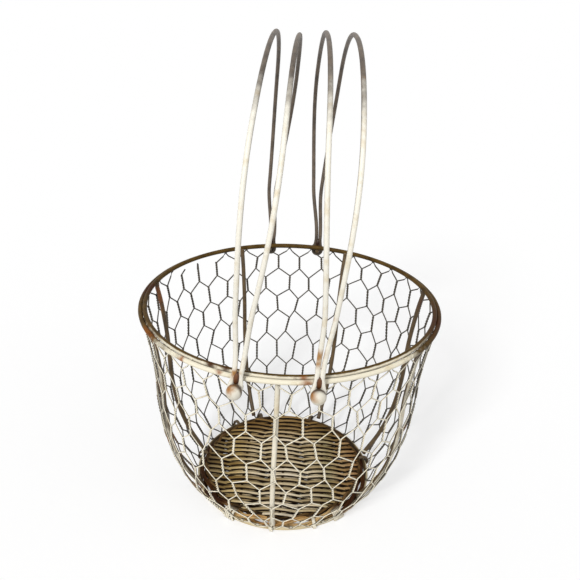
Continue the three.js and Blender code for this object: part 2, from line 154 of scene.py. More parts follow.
surround = bpy.data.worlds.new("surround")
surround.use_nodes = True
surround_tree = surround.node_tree
surround_tree.nodes.clear()
surround_strength = add_node(surround_tree, "ShaderNodeMapRange", Value=seen_directly(surround_tree),
                             To_Min=SURROUND_LIGHT, To_Max=1.0)
surround_shader = add_node(surround_tree, "ShaderNodeBackground", Color=(1, 1, 1, 1),
                           Strength=surround_strength.outputs[0])
add_node(surround_tree, "ShaderNodeOutputWorld", Surface=surround_shader.outputs[0])
bpy.context.scene.world = surround

floor_turn = np.linspace(0, 2 * np.pi, FLOOR_SIDES, endpoint=False)
floor_edge = FLOOR_RADIUS * np.stack([np.cos(floor_turn), np.sin(floor_turn), 0 * floor_turn], -1)
floor_mesh = bpy.data.meshes.new("floor")
floor_mesh.from_pydata(floor_edge.tolist(), [], [list(range(FLOOR_SIDES))])
floor = new_object("floor", floor_mesh)
floor_paint, floor_tree = empty_material("floor_paint")
floor_matt = add_node(floor_tree, "ShaderNodeBsdfDiffuse", Color=(FLOOR_SHADE,) * 3 + (1,))
floor_glow = maths(floor_tree, "MULTIPLY", seen_directly(floor_tree), floor_glow_needed)
floor_light = add_node(floor_tree, "ShaderNodeEmission", Strength=floor_glow)
floor_both = add_node(floor_tree, "ShaderNodeAddShader", i0=floor_matt.outputs[0], i1=floor_light.outputs[0])
add_node(floor_tree, "ShaderNodeOutputMaterial", Surface=floor_both.outputs[0])
floor_mesh.materials.append(floor_paint)

for lamp_name, lamp_facts in LAMPS.items():
    lamp_data = bpy.data.lights.new(lamp_name, "SUN")
    lamp_data.angle = np.radians(lamp_facts["softness"])
    lamp_data.energy = lamp_facts["brightness"] * np.pi
    lamp = new_object(lamp_name, lamp_data)
    lamp_bearing, lamp_elevation = np.radians(lamp_facts["bearing"]), np.radians(lamp_facts["elevation"])
    lamp_place = Vector((np.sin(lamp_bearing) * np.cos(lamp_elevation),
                         -np.cos(lamp_bearing) * np.cos(lamp_elevation), np.sin(lamp_elevation)))
    lamp.rotation_mode = "QUATERNION"
    lamp.rotation_quaternion = (-lamp_place).to_track_quat("-Z", "Y")

bpy.context.scene.view_settings.view_transform = "Standard"


# Rim. Two hoops of 4.3 mm steel wire, brazed together, the smaller inside and above the larger. Cream paint
# was sprayed on from outside and in front, and covers the hoops' outer faces there. The rest is brown steel,
# with rust.
RIM_WIRE_RADIUS = 0.00215
HOOPS_CLOSER = 0.0007
INNER_HOOP_SMALLER = 0.0009
RING_STEPS = 288
RING_SIDES = 20
RIM_BEND = 0.00035
RIM_CREAM = "#f5edd6"
RIM_BROWN = "#614a22"
RIM_RUST = "#43240c"
RIM_ORANGE = "#97561f"
UP = np.array([0, 0, 1.0])


def tube(path, side, radius, sides, flatness=1.0):
    """Surface of a wire carried along paths, one path in each row of the array.
    With T along the path, N the part of side that is square to T, and B = T x N, a point is
    path + radius * (cos v * N + flatness * sin v * B), for v from 0 to a whole turn."""
    ahead = np.gradient(path, axis=-2)
    ahead /= np.linalg.norm(ahead, axis=-1, keepdims=True)
    normal = side - (side * ahead).sum(-1, keepdims=True) * ahead
    normal /= np.linalg.norm(normal, axis=-1, keepdims=True)
    across = np.cross(ahead, normal)
    turn = np.linspace(0, 2 * np.pi, sides, endpoint=False)[:, None]
    radius = np.asarray(radius)[..., None, None] * np.ones(path.shape[:-1] + (1, 1))
    ring = np.cos(turn) * normal[..., None, :] + flatness * np.sin(turn) * across[..., None, :]
    return path[..., None, :] + radius * ring


def closed_tube(path, side, radius, sides):
    """Surface of a wire carried along paths that close on themselves: a tube whose direction at the seam
    comes from the points on both sides of it."""
    lines = (path, np.broadcast_to(side, path.shape))
    path, side = (np.concatenate([line[..., -1:, :], line, line[..., :1, :]], axis=-2) for line in lines)
    return tube(path, side, radius, sides)[..., 1:-1, :, :]


def skin(name, bundles, closed=False, shades=None):
    """A piece whose mesh covers bundles of tubes. A bundle is an array of tubes, steps, sides and x y z.
    Every four neighbouring points make one face, the ends of an open tube are closed, and the
    UV map holds the length along the tube in metres and the share of the way round it.
    Shades gives each tube a number that its material can read."""
    points, faces, uvs, tones = [], [], [], []
    first = 0
    for bundle_number, bundle in enumerate(bundles):
        tubes, steps, sides, _ = bundle.shape
        index = first + np.arange(tubes * steps * sides).reshape(tubes, steps, sides)
        first += tubes * steps * sides
        rows = steps if closed else steps - 1
        near, far = index[:, :rows], np.roll(index, -1, axis=1)[:, :rows]
        quads = np.stack([near, np.roll(near, -1, axis=2), np.roll(far, -1, axis=2), far], -1)
        stride = np.linalg.norm(np.diff(bundle.mean(2), axis=1), axis=-1)
        reach = np.concatenate([np.zeros((tubes, 1)), np.cumsum(stride, axis=1)], axis=1)
        reach = np.concatenate([reach, reach[:, -1:] + stride[:, :1]], axis=1)[:, :rows + 1]
        here, there = reach[:, :-1, None] + np.zeros(sides), reach[:, 1:, None] + np.zeros(sides)
        low = np.zeros_like(here) + np.arange(sides) / sides
        high = low + 1 / sides
        corners = np.stack([here, low, here, high, there, high, there, low], -1)
        points.append(bundle.reshape(-1, 3))
        faces += quads.reshape(-1, 4).tolist()
        uvs.append(corners.reshape(-1))
        if not closed:
            faces += index[:, 0, ::-1].tolist() + index[:, -1].tolist()
            uvs.append(np.zeros(2 * tubes * sides * 2))
        shade = np.zeros(tubes) if shades is None else shades[bundle_number]
        tones.append(np.repeat(shade, steps * sides))
    mesh = bpy.data.meshes.new(name)
    mesh.from_pydata(np.concatenate(points).tolist(), [], faces)
    mesh.uv_layers.new(name="UVMap").data.foreach_set("uv", np.concatenate(uvs).astype(np.float32))
    tone = mesh.attributes.new("shade", "FLOAT", "POINT")
    tone.data.foreach_set("value", np.concatenate(tones).astype(np.float32))
    mesh.shade_smooth()
    return new_object(name, mesh)


def round_the_axis(bearing, reach, height):
    """Points at a bearing from the front, turning to the right, a reach from the axis and a height:
    (reach sin bearing, -reach cos bearing, height)."""
    bearing, reach, height = np.broadcast_arrays(bearing, reach, height)
    return np.stack([reach * np.sin(bearing), -reach * np.cos(bearing), height], -1)


def hoop(reach, height, wire_radius, bend):
    """A ring of wire about the axis. Its reach and height waver by bend, as a hand-bent hoop's do:
    reach + bend sin(3 b + 1) and height + bend sin(2 b) for a bearing b."""
    bearing = np.linspace(0, 2 * np.pi, RING_STEPS, endpoint=False)
    path = round_the_axis(bearing, reach + bend * np.sin(3 * bearing + 1),
                          height + bend * np.sin(2 * bearing))
    return closed_tube(path, UP, wire_radius, RING_SIDES)[None]


def linear(hex_colour):
    """A colour written as #rrggbb, as the shader's linear red, green and blue, by the sRGB curve, and 1."""
    share = np.array([int(hex_colour[i:i + 2], 16) for i in (1, 3, 5)]) / 255
    red, green, blue = np.where(share > 0.04045, ((share + 0.055) / 1.055) ** 2.4, share / 12.92)
    return (float(red), float(green), float(blue), 1.0)


def new_group(name, inputs, outputs):
    """An empty shader group with number inputs and their usual values, and number outputs. Returns its tree
    and the sockets in it that bring the inputs and take the outputs."""
    tree = bpy.data.node_groups.new(name, "ShaderNodeTree")
    for socket_name, value in inputs.items():
        socket = tree.interface.new_socket(name=socket_name, in_out="INPUT", socket_type="NodeSocketFloat")
        socket.default_value = value
    for socket_name in outputs:
        tree.interface.new_socket(name=socket_name, in_out="OUTPUT", socket_type="NodeSocketFloat")
    return tree, add_node(tree, "NodeGroupInput").outputs, add_node(tree, "NodeGroupOutput").inputs


def noise(tree, place, scale, detail, roughness, **settings):
    """Smooth noise over a place, in general between 0.3 and 0.7."""
    return add_node(tree, "ShaderNodeTexNoise", Vector=place, Scale=scale, Detail=detail, Roughness=roughness,
                    **settings).outputs[0]


def from_to(tree, value, start, end, gently=False):
    """0 where the value is at start and 1 where it is at end, held beyond them, and in step between them or,
    when gently, with a soft start and end."""
    kind = "SMOOTHSTEP" if gently else "LINEAR"
    return add_node(tree, "ShaderNodeMapRange", interpolation_type=kind, Value=value,
                    From_Min=start, From_Max=end).outputs[0]


# Where the paint reached: 1 on faces that look away from the basket's axis and 0 on the others, with a
# ragged edge
NOISE_MIDDLE = 0.5

spray_tree, spray_in, spray_out = new_group(
    "spray_from_outside", {"Starts At": 0.0, "Full At": 0.5, "Patch Size": 0.02, "Raggedness": 0.5},
    ["Painted"])
spray_place = add_node(spray_tree, "ShaderNodeTexCoord").outputs
spray_level = add_node(spray_tree, "ShaderNodeVectorMath", operation="MULTIPLY", i0=spray_place["Object"],
                       i1=(1, 1, 0))
spray_radial = add_node(spray_tree, "ShaderNodeVectorMath", operation="NORMALIZE", i0=spray_level.outputs[0])
spray_facing = add_node(spray_tree, "ShaderNodeVectorMath", operation="DOT_PRODUCT",
                        i0=spray_radial.outputs[0], i1=spray_place["Normal"])
spray_scale = maths(spray_tree, "DIVIDE", 1.0, spray_in["Patch Size"])
spray_noise = noise(spray_tree, spray_place["Object"], spray_scale, detail=6.0, roughness=0.65)
spray_centred = maths(spray_tree, "SUBTRACT", spray_noise, NOISE_MIDDLE)
spray_ragged = maths(spray_tree, "MULTIPLY_ADD", spray_centred, spray_in["Raggedness"],
                     spray_facing.outputs["Value"])
spray_mask = from_to(spray_tree, spray_ragged, spray_in["Starts At"], spray_in["Full At"], gently=True)
spray_tree.links.new(spray_mask, spray_out["Painted"])

# Rust: blotches where a noise is higher than RUST_LEVEL less the amount, with fine detail along their edges
RUST_LEVEL = 0.95
RUST_SOFTNESS = 0.12
RUST_SEED = 3.7

rust_tree, rust_in, rust_out = new_group("rust_blotches", {"Amount": 0.3, "Blotch Size": 0.02}, ["Rusty"])
rust_place = add_node(rust_tree, "ShaderNodeTexCoord").outputs["Object"]
rust_scale = maths(rust_tree, "DIVIDE", 1.0, rust_in["Blotch Size"])
rust_noise = noise(rust_tree, rust_place, rust_scale, detail=8.0, roughness=0.7,
                   noise_dimensions="4D", W=RUST_SEED)
rust_edge = maths(rust_tree, "SUBTRACT", RUST_LEVEL, rust_in["Amount"])
rust_full = maths(rust_tree, "ADD", rust_edge, RUST_SOFTNESS)
rust_tree.links.new(from_to(rust_tree, rust_noise, rust_edge, rust_full, gently=True), rust_out["Rusty"])

# Grain of old paint: the height of its fine pits and bumps
grain_tree, grain_in, grain_out = new_group("paint_grain", {"Grain Size": 0.001}, ["Height"])
grain_place = add_node(grain_tree, "ShaderNodeTexCoord").outputs["Object"]
grain_scale = maths(grain_tree, "DIVIDE", 1.0, grain_in["Grain Size"])
grain_height = noise(grain_tree, grain_place, grain_scale, detail=5.0, roughness=0.6)
grain_tree.links.new(grain_height, grain_out["Height"])

# How far the paint reached from the front: 1 in front of one depth and 0 behind another, ragged between. With
# a height share, a point at REACH_HEIGHT counts at its own depth and a higher one farther back. On the
# handles
# that leaves the tops darker: partly bare steel, partly painted shade.
REACH_HEIGHT = 0.3
REACH_PATCHES = 70.0
REACH_RAGGEDNESS = 0.09

reach_tree, reach_in, reach_out = new_group(
    "paint_from_front", {"Full Depth": -0.10, "No Depth": -0.07, "Height Share": 0.0}, ["Painted"])
reach_place = add_node(reach_tree, "ShaderNodeTexCoord").outputs["Object"]
reach_noise = noise(reach_tree, reach_place, REACH_PATCHES, detail=6.0, roughness=0.65)
reach_shift = maths(reach_tree, "MULTIPLY_ADD", reach_noise, REACH_RAGGEDNESS,
                    -REACH_RAGGEDNESS * NOISE_MIDDLE)
reach_parts = add_node(reach_tree, "ShaderNodeSeparateXYZ", Vector=reach_place).outputs
reach_rise = maths(reach_tree, "SUBTRACT", reach_parts["Z"], REACH_HEIGHT)
reach_leaned = maths(reach_tree, "MULTIPLY_ADD", reach_rise, reach_in["Height Share"], reach_parts["Y"])
reach_depth = maths(reach_tree, "ADD", reach_shift, reach_leaned)
reach_mask = from_to(reach_tree, reach_depth, reach_in["No Depth"], reach_in["Full Depth"], gently=True)
reach_tree.links.new(reach_mask, reach_out["Painted"])


def add_group(tree, name, **values):
    """What a shader group puts out, placed in a material with its own values."""
    node = tree.nodes.new("ShaderNodeGroup")
    node.node_tree = bpy.data.node_groups[name]
    for socket_name, value in values.items():
        node.inputs[socket_name.replace("_", " ")].default_value = value
    return node.outputs[0]


def blend_colours(tree, share, under, over):
    """Under where share is 0 and over where it is 1. Each is a colour or another node's output."""
    node = tree.nodes.new("ShaderNodeMix")
    node.data_type = "RGBA"
    tree.links.new(share, node.inputs["Factor"])
    for socket, colour in ((node.inputs[6], under), (node.inputs[7], over)):
        if isinstance(colour, bpy.types.NodeSocket):
            tree.links.new(colour, socket)
        else:
            socket.default_value = colour
    return node.outputs[2]


# Paint wears to WORN_PAINT of its red, green and blue, and steel dulls to DULL_STEEL of them, each between
# two levels of one noise. A mark covers what is near its middle: the distance in radii, less that noise times
# MARK_RAGGEDNESS, is MARK_STARTS where the mark begins and MARK_FULL where it covers all
MOTTLE_SCALE = 90.0
WORN_PAINT = (0.80, 0.72, 0.58)
WORN_BETWEEN = (0.52, 0.75)
DULL_STEEL = (0.45, 0.45, 0.45)
DULL_BETWEEN = (0.35, 0.62)
MARK_RAGGEDNESS = 2.5
MARK_STARTS = 0.1
MARK_FULL = -1.4
PAINT_ROUGHNESS = 0.5
RUST_ROUGHNESS = 0.85


def shaded(colour, shares):
    """A colour with its red, green and blue each times a share."""
    return tuple(channel * share for channel, share in zip(colour, shares)) + (1,)


def painted_steel(name, paint, steel, rust, spray, front=None, rust_amount=0.3, blotch=0.02, bump=0.00012,
                  shine=0.5, marks=()):
    """Old steel wire with paint on its outer side: bare steel, then paint, then rust, each mottled. Spray
    says how far a face has to look outwards to be painted. Front gives the two depths between which the
    paint ends, on a piece that is bare behind. Marks are single rust spots: x, y, z and a radius in metres,
    and a colour."""
    material, tree = empty_material(name)
    place = add_node(tree, "ShaderNodeTexCoord").outputs["Object"]
    mottle = noise(tree, place, MOTTLE_SCALE, detail=5.0, roughness=0.6)
    paint, steel = linear(paint), linear(steel)
    bare = blend_colours(tree, from_to(tree, mottle, *DULL_BETWEEN), shaded(steel, DULL_STEEL), steel)
    coat = blend_colours(tree, from_to(tree, mottle, *WORN_BETWEEN), paint, shaded(paint, WORN_PAINT))
    cover = add_group(tree, "spray_from_outside", **spray)
    if front:
        cover = maths(tree, "MULTIPLY", cover, add_group(tree, "paint_from_front", **front))
    rusty = add_group(tree, "rust_blotches", Amount=rust_amount, Blotch_Size=blotch)
    colour = blend_colours(tree, rusty, blend_colours(tree, cover, bare, coat), linear(rust))
    for *mark_place, mark_radius, mark_colour in marks:
        off = add_node(tree, "ShaderNodeVectorMath", operation="DISTANCE", i0=place, i1=mark_place)
        ragged = maths(tree, "MULTIPLY_ADD", mottle, -MARK_RAGGEDNESS * mark_radius, off.outputs["Value"])
        near = from_to(tree, ragged, MARK_STARTS * mark_radius, MARK_FULL * mark_radius, gently=True)
        colour = blend_colours(tree, near, colour, linear(mark_colour))
    rough = add_node(tree, "ShaderNodeMapRange", Value=rusty, To_Min=PAINT_ROUGHNESS, To_Max=RUST_ROUGHNESS)
    grain = add_group(tree, "paint_grain")
    relief = add_node(tree, "ShaderNodeBump", Height=grain, Distance=bump, Strength=1.0)
    shader = add_node(tree, "ShaderNodeBsdfPrincipled", Base_Color=colour, Roughness=rough.outputs[0],
                      Normal=relief.outputs[0], Specular_IOR_Level=shine)
    add_node(tree, "ShaderNodeOutputMaterial", Surface=shader.outputs[0])
    return material


outer_rim_finish = painted_steel(
    "outer_rim_finish", RIM_CREAM, RIM_BROWN, RIM_RUST,
    {"Starts_At": -0.45, "Full_At": -0.05, "Patch_Size": 0.030, "Raggedness": 0.45},
    front={"Full_Depth": -0.108, "No_Depth": -0.078}, rust_amount=0.34, shine=0.08,
    marks=[(0.1320, -0.0350, 0.1970, 0.045, RIM_RUST), (-0.1390, 0.0100, 0.1970, 0.020, RIM_RUST),
           (0.0155, -0.1416, 0.1978, 0.0055, RIM_ORANGE), (-0.0541, -0.1305, 0.1986, 0.003, RIM_ORANGE),
           (-0.1200, -0.0720, 0.1970, 0.010, RIM_ORANGE), (-0.0860, -0.1110, 0.1970, 0.004, RIM_ORANGE)])
inner_rim_finish = painted_steel(
    "inner_rim_finish", RIM_CREAM, RIM_BROWN, RIM_RUST,
    {"Starts_At": 0.55, "Full_At": 0.95, "Patch_Size": 0.016, "Raggedness": 0.8},
    front={"Full_Depth": -0.100, "No_Depth": -0.050}, rust_amount=0.36, shine=0.08,
    marks=[(0.1290, -0.0350, 0.2010, 0.045, RIM_RUST), (-0.1360, 0.0100, 0.2010, 0.020, RIM_RUST),
           (-0.0620, -0.1240, 0.2017, 0.006, RIM_RUST), (-0.0490, -0.1300, 0.2017, 0.005, RIM_RUST),
           (0.0121, -0.1389, 0.2007, 0.004, RIM_ORANGE)])

for ring_name, ring_finish, ring_lift, ring_inset in (
        ("outer_rim_ring", outer_rim_finish, HOOPS_CLOSER, 0.0),
        ("inner_rim_ring", inner_rim_finish, -HOOPS_CLOSER, INNER_HOOP_SMALLER)):
    ring_low, ring_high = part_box(ring_name)
    ring_height = (ring_low.z + ring_high.z) / 2 + ring_lift
    ring_reach = ring_high.x - (ring_high.z - ring_low.z) / 2 - ring_inset
    ring = skin(ring_name.replace("_ring", "_hoop"),
                [hoop(ring_reach, ring_height, RIM_WIRE_RADIUS, RIM_BEND)], closed=True)
    ring.data.materials.append(ring_finish)
    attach(ring, "basket")
    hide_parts(ring_name)

rim_reach = outer_rim_high.x - (outer_rim_high.z - outer_rim_low.z) / 2


# Foot. One hoop of 4.5 mm wire that the basket stands on, its paint worn to tan and stained with rust.
# It stands a little to the front and left of the rim's middle.
FOOT_CREAM = "#f3ebd6"
FOOT_STEEL = "#5f4a2b"
FOOT_TAN = "#d8c7a0"

foot_low, foot_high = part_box("foot_ring")
foot_height = (foot_low.z + foot_high.z) / 2
foot_middle = np.array([(foot_low.x + foot_high.x) / 2, (foot_low.y + foot_high.y) / 2, 0])
foot_reach = (foot_high.x - foot_low.x) / 2 - foot_height
foot = skin("foot_hoop", [foot_middle + hoop(foot_reach, foot_height, foot_height, 0.0)], closed=True)
frame_finish = painted_steel(
    "frame_finish", FOOT_CREAM, FOOT_STEEL, RIM_RUST,
    {"Starts_At": -0.25, "Full_At": 0.35, "Patch_Size": 0.020, "Raggedness": 0.6},
    front={"Full_Depth": -0.088, "No_Depth": -0.020}, rust_amount=0.32,
    marks=[(-0.0093, -0.0925, 0.0030, 0.0040, RIM_RUST), (-0.0079, -0.1390, 0.1900, 0.0030, RIM_RUST),
           (-0.1242, -0.0553, 0.1850, 0.0100, RIM_ORANGE), (-0.1330, 0.0283, 0.1850, 0.0120, RIM_ORANGE),
           (0.1153, -0.0721, 0.1850, 0.0070, RIM_RUST), (0.1325, 0.0306, 0.1850, 0.0090, RIM_RUST)])
foot_finish = painted_steel(
    "foot_finish", FOOT_TAN, FOOT_STEEL, RIM_RUST,
    {"Starts_At": -0.1, "Full_At": 0.5, "Patch_Size": 0.012, "Raggedness": 0.8}, rust_amount=0.36, shine=0.25)
foot.data.materials.append(foot_finish)
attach(foot, "basket")
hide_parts("foot_ring")


# Bowl. The netting hangs nearly straight down from under the rim and curves in to the foot. Its outline is
# a smooth curve through a few points: share of the height, share of the way out.
NET_INSIDE_RIM = 0.0015
NET_UNDER_RIM = 0.0033
NET_OUTSIDE_FOOT = 0.0030
NET_ABOVE_FOOT = 0.00138
BOWL_OUTLINE = [(0.04, 0.09), (0.15, 0.37), (0.31, 0.62), (0.5, 0.757), (0.71, 0.808), (0.9, 0.913)]
OUTLINE_STEPS = 400


def smooth_line(corners, steps):
    """Points on a smooth line through the corners. Between corners B and C, with A before and D after,
    it is the cubic that leaves B along (C - A) / 2 and reaches C along (D - B) / 2."""
    corners = np.asarray(corners)
    place = np.linspace(0, len(corners) - 1, steps)
    start = np.minimum(place.astype(int), len(corners) - 2)
    t = (place - start)[:, None]
    before, b, c, after = (corners[np.clip(start + k, 0, len(corners) - 1)] for k in (-1, 0, 1, 2))
    leave, arrive = (c - before) / 2, (after - b) / 2
    return ((2 * b - 2 * c + leave + arrive) * t ** 3 + (3 * c - 3 * b - 2 * leave - arrive) * t ** 2
            + leave * t + b)


net_top = np.array([rim_reach - NET_INSIDE_RIM, rim_height - NET_UNDER_RIM])
net_foot = np.array([foot_reach + NET_OUTSIDE_FOOT, foot_height + NET_ABOVE_FOOT])
outline_middle = [net_foot + (net_top - net_foot) * (out, up) for up, out in BOWL_OUTLINE]
bowl_line = smooth_line([net_top] + outline_middle[::-1] + [net_foot], OUTLINE_STEPS)
bowl_distance = np.concatenate([[0], np.cumsum(np.linalg.norm(np.diff(bowl_line, axis=0), axis=1))])
bowl_length = bowl_distance[-1]
bowl_ahead = np.gradient(bowl_line, axis=0)
bowl_ahead /= np.linalg.norm(bowl_ahead, axis=1, keepdims=True)
bowl_outward = np.stack([-bowl_ahead[:, 1], bowl_ahead[:, 0]], -1)


def on_bowl(distance, bearing, out=0.0, aside=0.0):
    """A point of the bowl at a distance down its outline from the rim and at a bearing, moved out along the
    surface's normal, and aside to the right, in metres. The bowl's middle goes over from the middle of the
    rim to that of the foot in step with the height. Returns the point and the normal."""
    reach, height = (np.interp(distance, bowl_distance, bowl_line[:, k]) for k in (0, 1))
    outward, rise = (np.interp(distance, bowl_distance, bowl_outward[:, k]) for k in (0, 1))
    normal = round_the_axis(bearing, outward, rise)
    right = np.stack([np.cos(bearing), np.sin(bearing), 0 * bearing], -1)
    point = round_the_axis(bearing, reach, height) + np.asarray(out)[..., None] * normal
    drop = np.clip((rim_height - height) / (rim_height - foot_height), 0, 1)
    return point + drop[..., None] * foot_middle + np.asarray(aside)[..., None] * right, normal


# Ribs. Seven lengths of 4.4 mm wire, bent to the bowl and brazed under the rim and onto the foot.
# They lie inside the netting. Each has its bearing at the rim and at the foot, in degrees from the front.
RIB_WIRE_RADIUS = 0.0022
RIB_INSIDE_NET = 0.0033
RIB_STEPS = 90
RIB_SIDES = 14
RIB_TOP_ABOVE_NET = 0.0050
RIB_TOP_STEPS = 4
RIB_TOP_LOWEST = 0.001
RIB_SHORT_OF_FOOT = 0.003
RIB_BEARINGS = {
    "rib_front": (-3.2, -4.8), "rib_front_right": (58, 58), "rib_right": (103, 103),
    "rib_back_right": (154, 154), "rib_back_left": (204, 204), "rib_left": (258, 258),
    "rib_front_left": (294, 294),
}


def rib_surface(top_bearing, foot_bearing):
    """A rib: the bowl's outline moved inwards, while its bearing goes evenly from the one at the rim to the
    one at the foot. Above the netting it goes on straight up to the rim."""
    share = np.linspace(0, 1, RIB_STEPS)
    bearing = np.radians(top_bearing + (foot_bearing - top_bearing) * share)
    path, _ = on_bowl(share * (bowl_length - RIB_SHORT_OF_FOOT), bearing, out=-RIB_INSIDE_NET + 0 * share)
    top = path[:1] + np.linspace(RIB_TOP_ABOVE_NET, RIB_TOP_LOWEST, RIB_TOP_STEPS)[:, None] * UP
    path = np.concatenate([top, path])
    side = round_the_axis(np.radians(top_bearing) + np.pi / 2, 1.0, 0.0)
    return tube(path, side, RIB_WIRE_RADIUS, RIB_SIDES)[None]


for rib_name, (rib_top, rib_foot) in RIB_BEARINGS.items():
    rib = skin(rib_name.replace("rib_", "bent_rib_"), [rib_surface(rib_top, rib_foot)])
    rib.data.materials.append(frame_finish)
    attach(rib, "basket")
    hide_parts(rib_name)


# Netting. Seventy thin wires run down the bowl. Each is wound round its left and its right neighbour
# by turns, which makes 35 by 7 six-sided cells. The ends are caught between the rim's hoops, and bent over
# the foot.
NET_WIRE_RADIUS = 0.00060
NET_THICKER_BEHIND = 0.25
NET_SIDES = 6
NET_PROUD = 0.00015
CELLS_ROUND = 35
CELL_ROWS = 7
TWIST_SHARE = 0.64
TURNS_IN_TWIST = 3
STEPS_IN_TWIST = 18
STEPS_BETWEEN = 3
NET_START_BEARING = 1.1
NET_SEED = 11
BACK_LIFT = 0.0085
BACK_LIFT_POWER = 0.7
CELL_WANDER = 0.0009
WANDER_AT_MOST = 2.2 * CELL_WANDER
WANDER_MORE_PER_ROW = 0.25
END_BEND_STEPS = 7
RIM_BEND_DEGREES = (155, 245)
FOOT_BEND_DEGREES = (27, 78)
NET_CREAM = "#faf2dc"
NET_GREY = "#4c4436"
NET_RUST = "#7f5528"

net_rng = np.random.default_rng(NET_SEED)
net_wires = 2 * CELLS_ROUND
wire_number = np.arange(net_wires)[:, None]
row_number = np.arange(CELL_ROWS)
wire_side = np.where((wire_number + row_number) % 2 == 0, 1, -1)
twist_column = wire_number + (wire_number + row_number) % 2
wander = net_rng.normal(0, CELL_WANDER, (CELL_ROWS, net_wires, 2, 2)).clip(-WANDER_AT_MOST, WANDER_AT_MOST)
wander *= 1 + WANDER_MORE_PER_ROW * row_number[:, None, None, None]
row_pitch = bowl_length / (CELL_ROWS + 1 - TWIST_SHARE)


def bearing_of(column):
    """Bearing of a column of twists: there are two columns to a cell, counted to the right."""
    return np.radians(NET_START_BEARING) + column * np.pi / CELLS_ROUND


def lifted(distance, bearing):
    """The netting sits higher towards the back: a distance down the bowl less
    BACK_LIFT * (1 - cos bearing) / 2 * sin(pi * share ** BACK_LIFT_POWER), for the share of the way down.
    That is nothing at the rim and the foot."""
    share = np.clip(distance / bowl_length, 0, 1)
    return distance - BACK_LIFT * (1 - np.cos(bearing)) / 2 * np.sin(np.pi * share ** BACK_LIFT_POWER)


along_twist = np.linspace(0, 1, STEPS_IN_TWIST + 1)
twist_from = row_pitch * (row_number + 1 - TWIST_SHARE)
twist_distance = (twist_from[:, None] + along_twist * TWIST_SHARE * row_pitch)[None]
twist_bearing = bearing_of(twist_column)[..., None]
drift = wander[row_number, twist_column % net_wires]
drift = drift[:, :, 0, None, :] * (1 - along_twist[:, None]) + drift[:, :, 1, None, :] * along_twist[:, None]
twist_turn = np.where(wire_side > 0, 0, np.pi)[..., None] + 2 * np.pi * TURNS_IN_TWIST * along_twist
twist = np.stack([
    lifted(twist_distance, twist_bearing) + drift[..., 0],
    twist_bearing + 0 * twist_turn,
    NET_PROUD + NET_WIRE_RADIUS * np.sin(twist_turn),
    NET_WIRE_RADIUS * np.cos(twist_turn) + drift[..., 1],
], -1)

# Between two twists a wire crosses straight to the next column
between = np.linspace(0, 1, STEPS_BETWEEN + 2)[1:-1, None]
gap = twist[:, :-1, -1, None] * (1 - between) + twist[:, 1:, 0, None] * between
links = np.concatenate([twist[:, :-1], gap], axis=2).reshape(net_wires, -1, 4)
wire_path = np.concatenate([links, twist[:, -1]], axis=1)

# At the rim and the foot it crosses half a cell, and then bends round the hoop
end_row = np.array([-1, CELL_ROWS])
end_side = np.where((wire_number + end_row) % 2 == 0, 1, -1)
end_column = wire_number + (wire_number + end_row) % 2
end_place = np.stack([
    np.zeros_like(end_column, float) + np.array([0.0, bowl_length]),
    bearing_of(end_column),
    np.full(end_column.shape, NET_PROUD),
    end_side * NET_WIRE_RADIUS,
], -1)
rim_gap = end_place[:, :1] * (1 - between) + wire_path[:, :1] * between
foot_gap = wire_path[:, -1:] * (1 - between) + end_place[:, 1:] * between
wire_path = np.concatenate([end_place[:, :1], rim_gap, wire_path, foot_gap, end_place[:, 1:]], axis=1)
net_points, net_normals = on_bowl(wire_path[..., 0], wire_path[..., 1], wire_path[..., 2], wire_path[..., 3])


def bend_round(hoop_reach, hoop_height, hoop_wire, degrees, bearing, aside):
    """The end of a wire bent round a hoop: an arc about the hoop's wire, from one angle to another,
    measured from the outward direction upwards. Returns the points and the directions away from the hoop."""
    angle = np.radians(np.linspace(*degrees, END_BEND_STEPS))
    arc = hoop_wire + NET_WIRE_RADIUS
    away = round_the_axis(bearing[:, None], np.cos(angle), np.sin(angle))
    points = round_the_axis(bearing[:, None], hoop_reach + arc * np.cos(angle),
                            hoop_height + arc * np.sin(angle))
    right = np.stack([np.cos(bearing), np.sin(bearing), 0 * bearing], -1)[:, None]
    return points + aside[:, None, None] * right, away


# At the back on the left a few wires have rusted through. Each ends in a stub above its first twist: the
# wire's number, and how far the stub goes aside and up
BROKEN_WIRES = {42: (0.0, 0.0008), 43: (0.0003, 0.0050), 44: (-0.0003, 0.0062), 45: (0.0, 0.0008),
                46: (-0.0065, 0.0048)}

rim_bend, rim_away = bend_round(rim_reach, rim_height + HOOPS_CLOSER, RIM_WIRE_RADIUS, RIM_BEND_DEGREES,
                                end_place[:, 0, 1], end_place[:, 0, 3])
foot_bend, foot_away = bend_round(foot_reach, foot_height, foot_height, FOOT_BEND_DEGREES,
                                  end_place[:, 1, 1], end_place[:, 1, 3])
net_points = np.concatenate([rim_bend, net_points[:, 1:-1], foot_bend + foot_middle], axis=1)
net_normals = np.concatenate([rim_away, net_normals[:, 1:-1], foot_away], axis=1)
broken = np.array(list(BROKEN_WIRES))
stub_aside, stub_up = np.array(list(BROKEN_WIRES.values())).T[:, :, None, None]
stub_right = round_the_axis(bearing_of(broken) + np.pi / 2, 1.0, 0.0)[:, None]
stub_end = stub_aside * stub_right + stub_up * UP
first_twist_point = rim_bend.shape[1] + STEPS_BETWEEN
stub_share = np.linspace(1, 0, first_twist_point, endpoint=False)[:, None]
stub_root = net_points[broken, first_twist_point][:, None]
net_points[broken, :first_twist_point] = stub_root + stub_share * stub_end
net_normals[broken, :first_twist_point] = net_normals[broken, first_twist_point][:, None]
behind = (1 + net_points[..., 1] / rim_reach) / 2
net_radius = NET_WIRE_RADIUS * (1 + NET_THICKER_BEHIND * behind)
netting = skin("netting", [tube(net_points, net_normals, net_radius, NET_SIDES)])
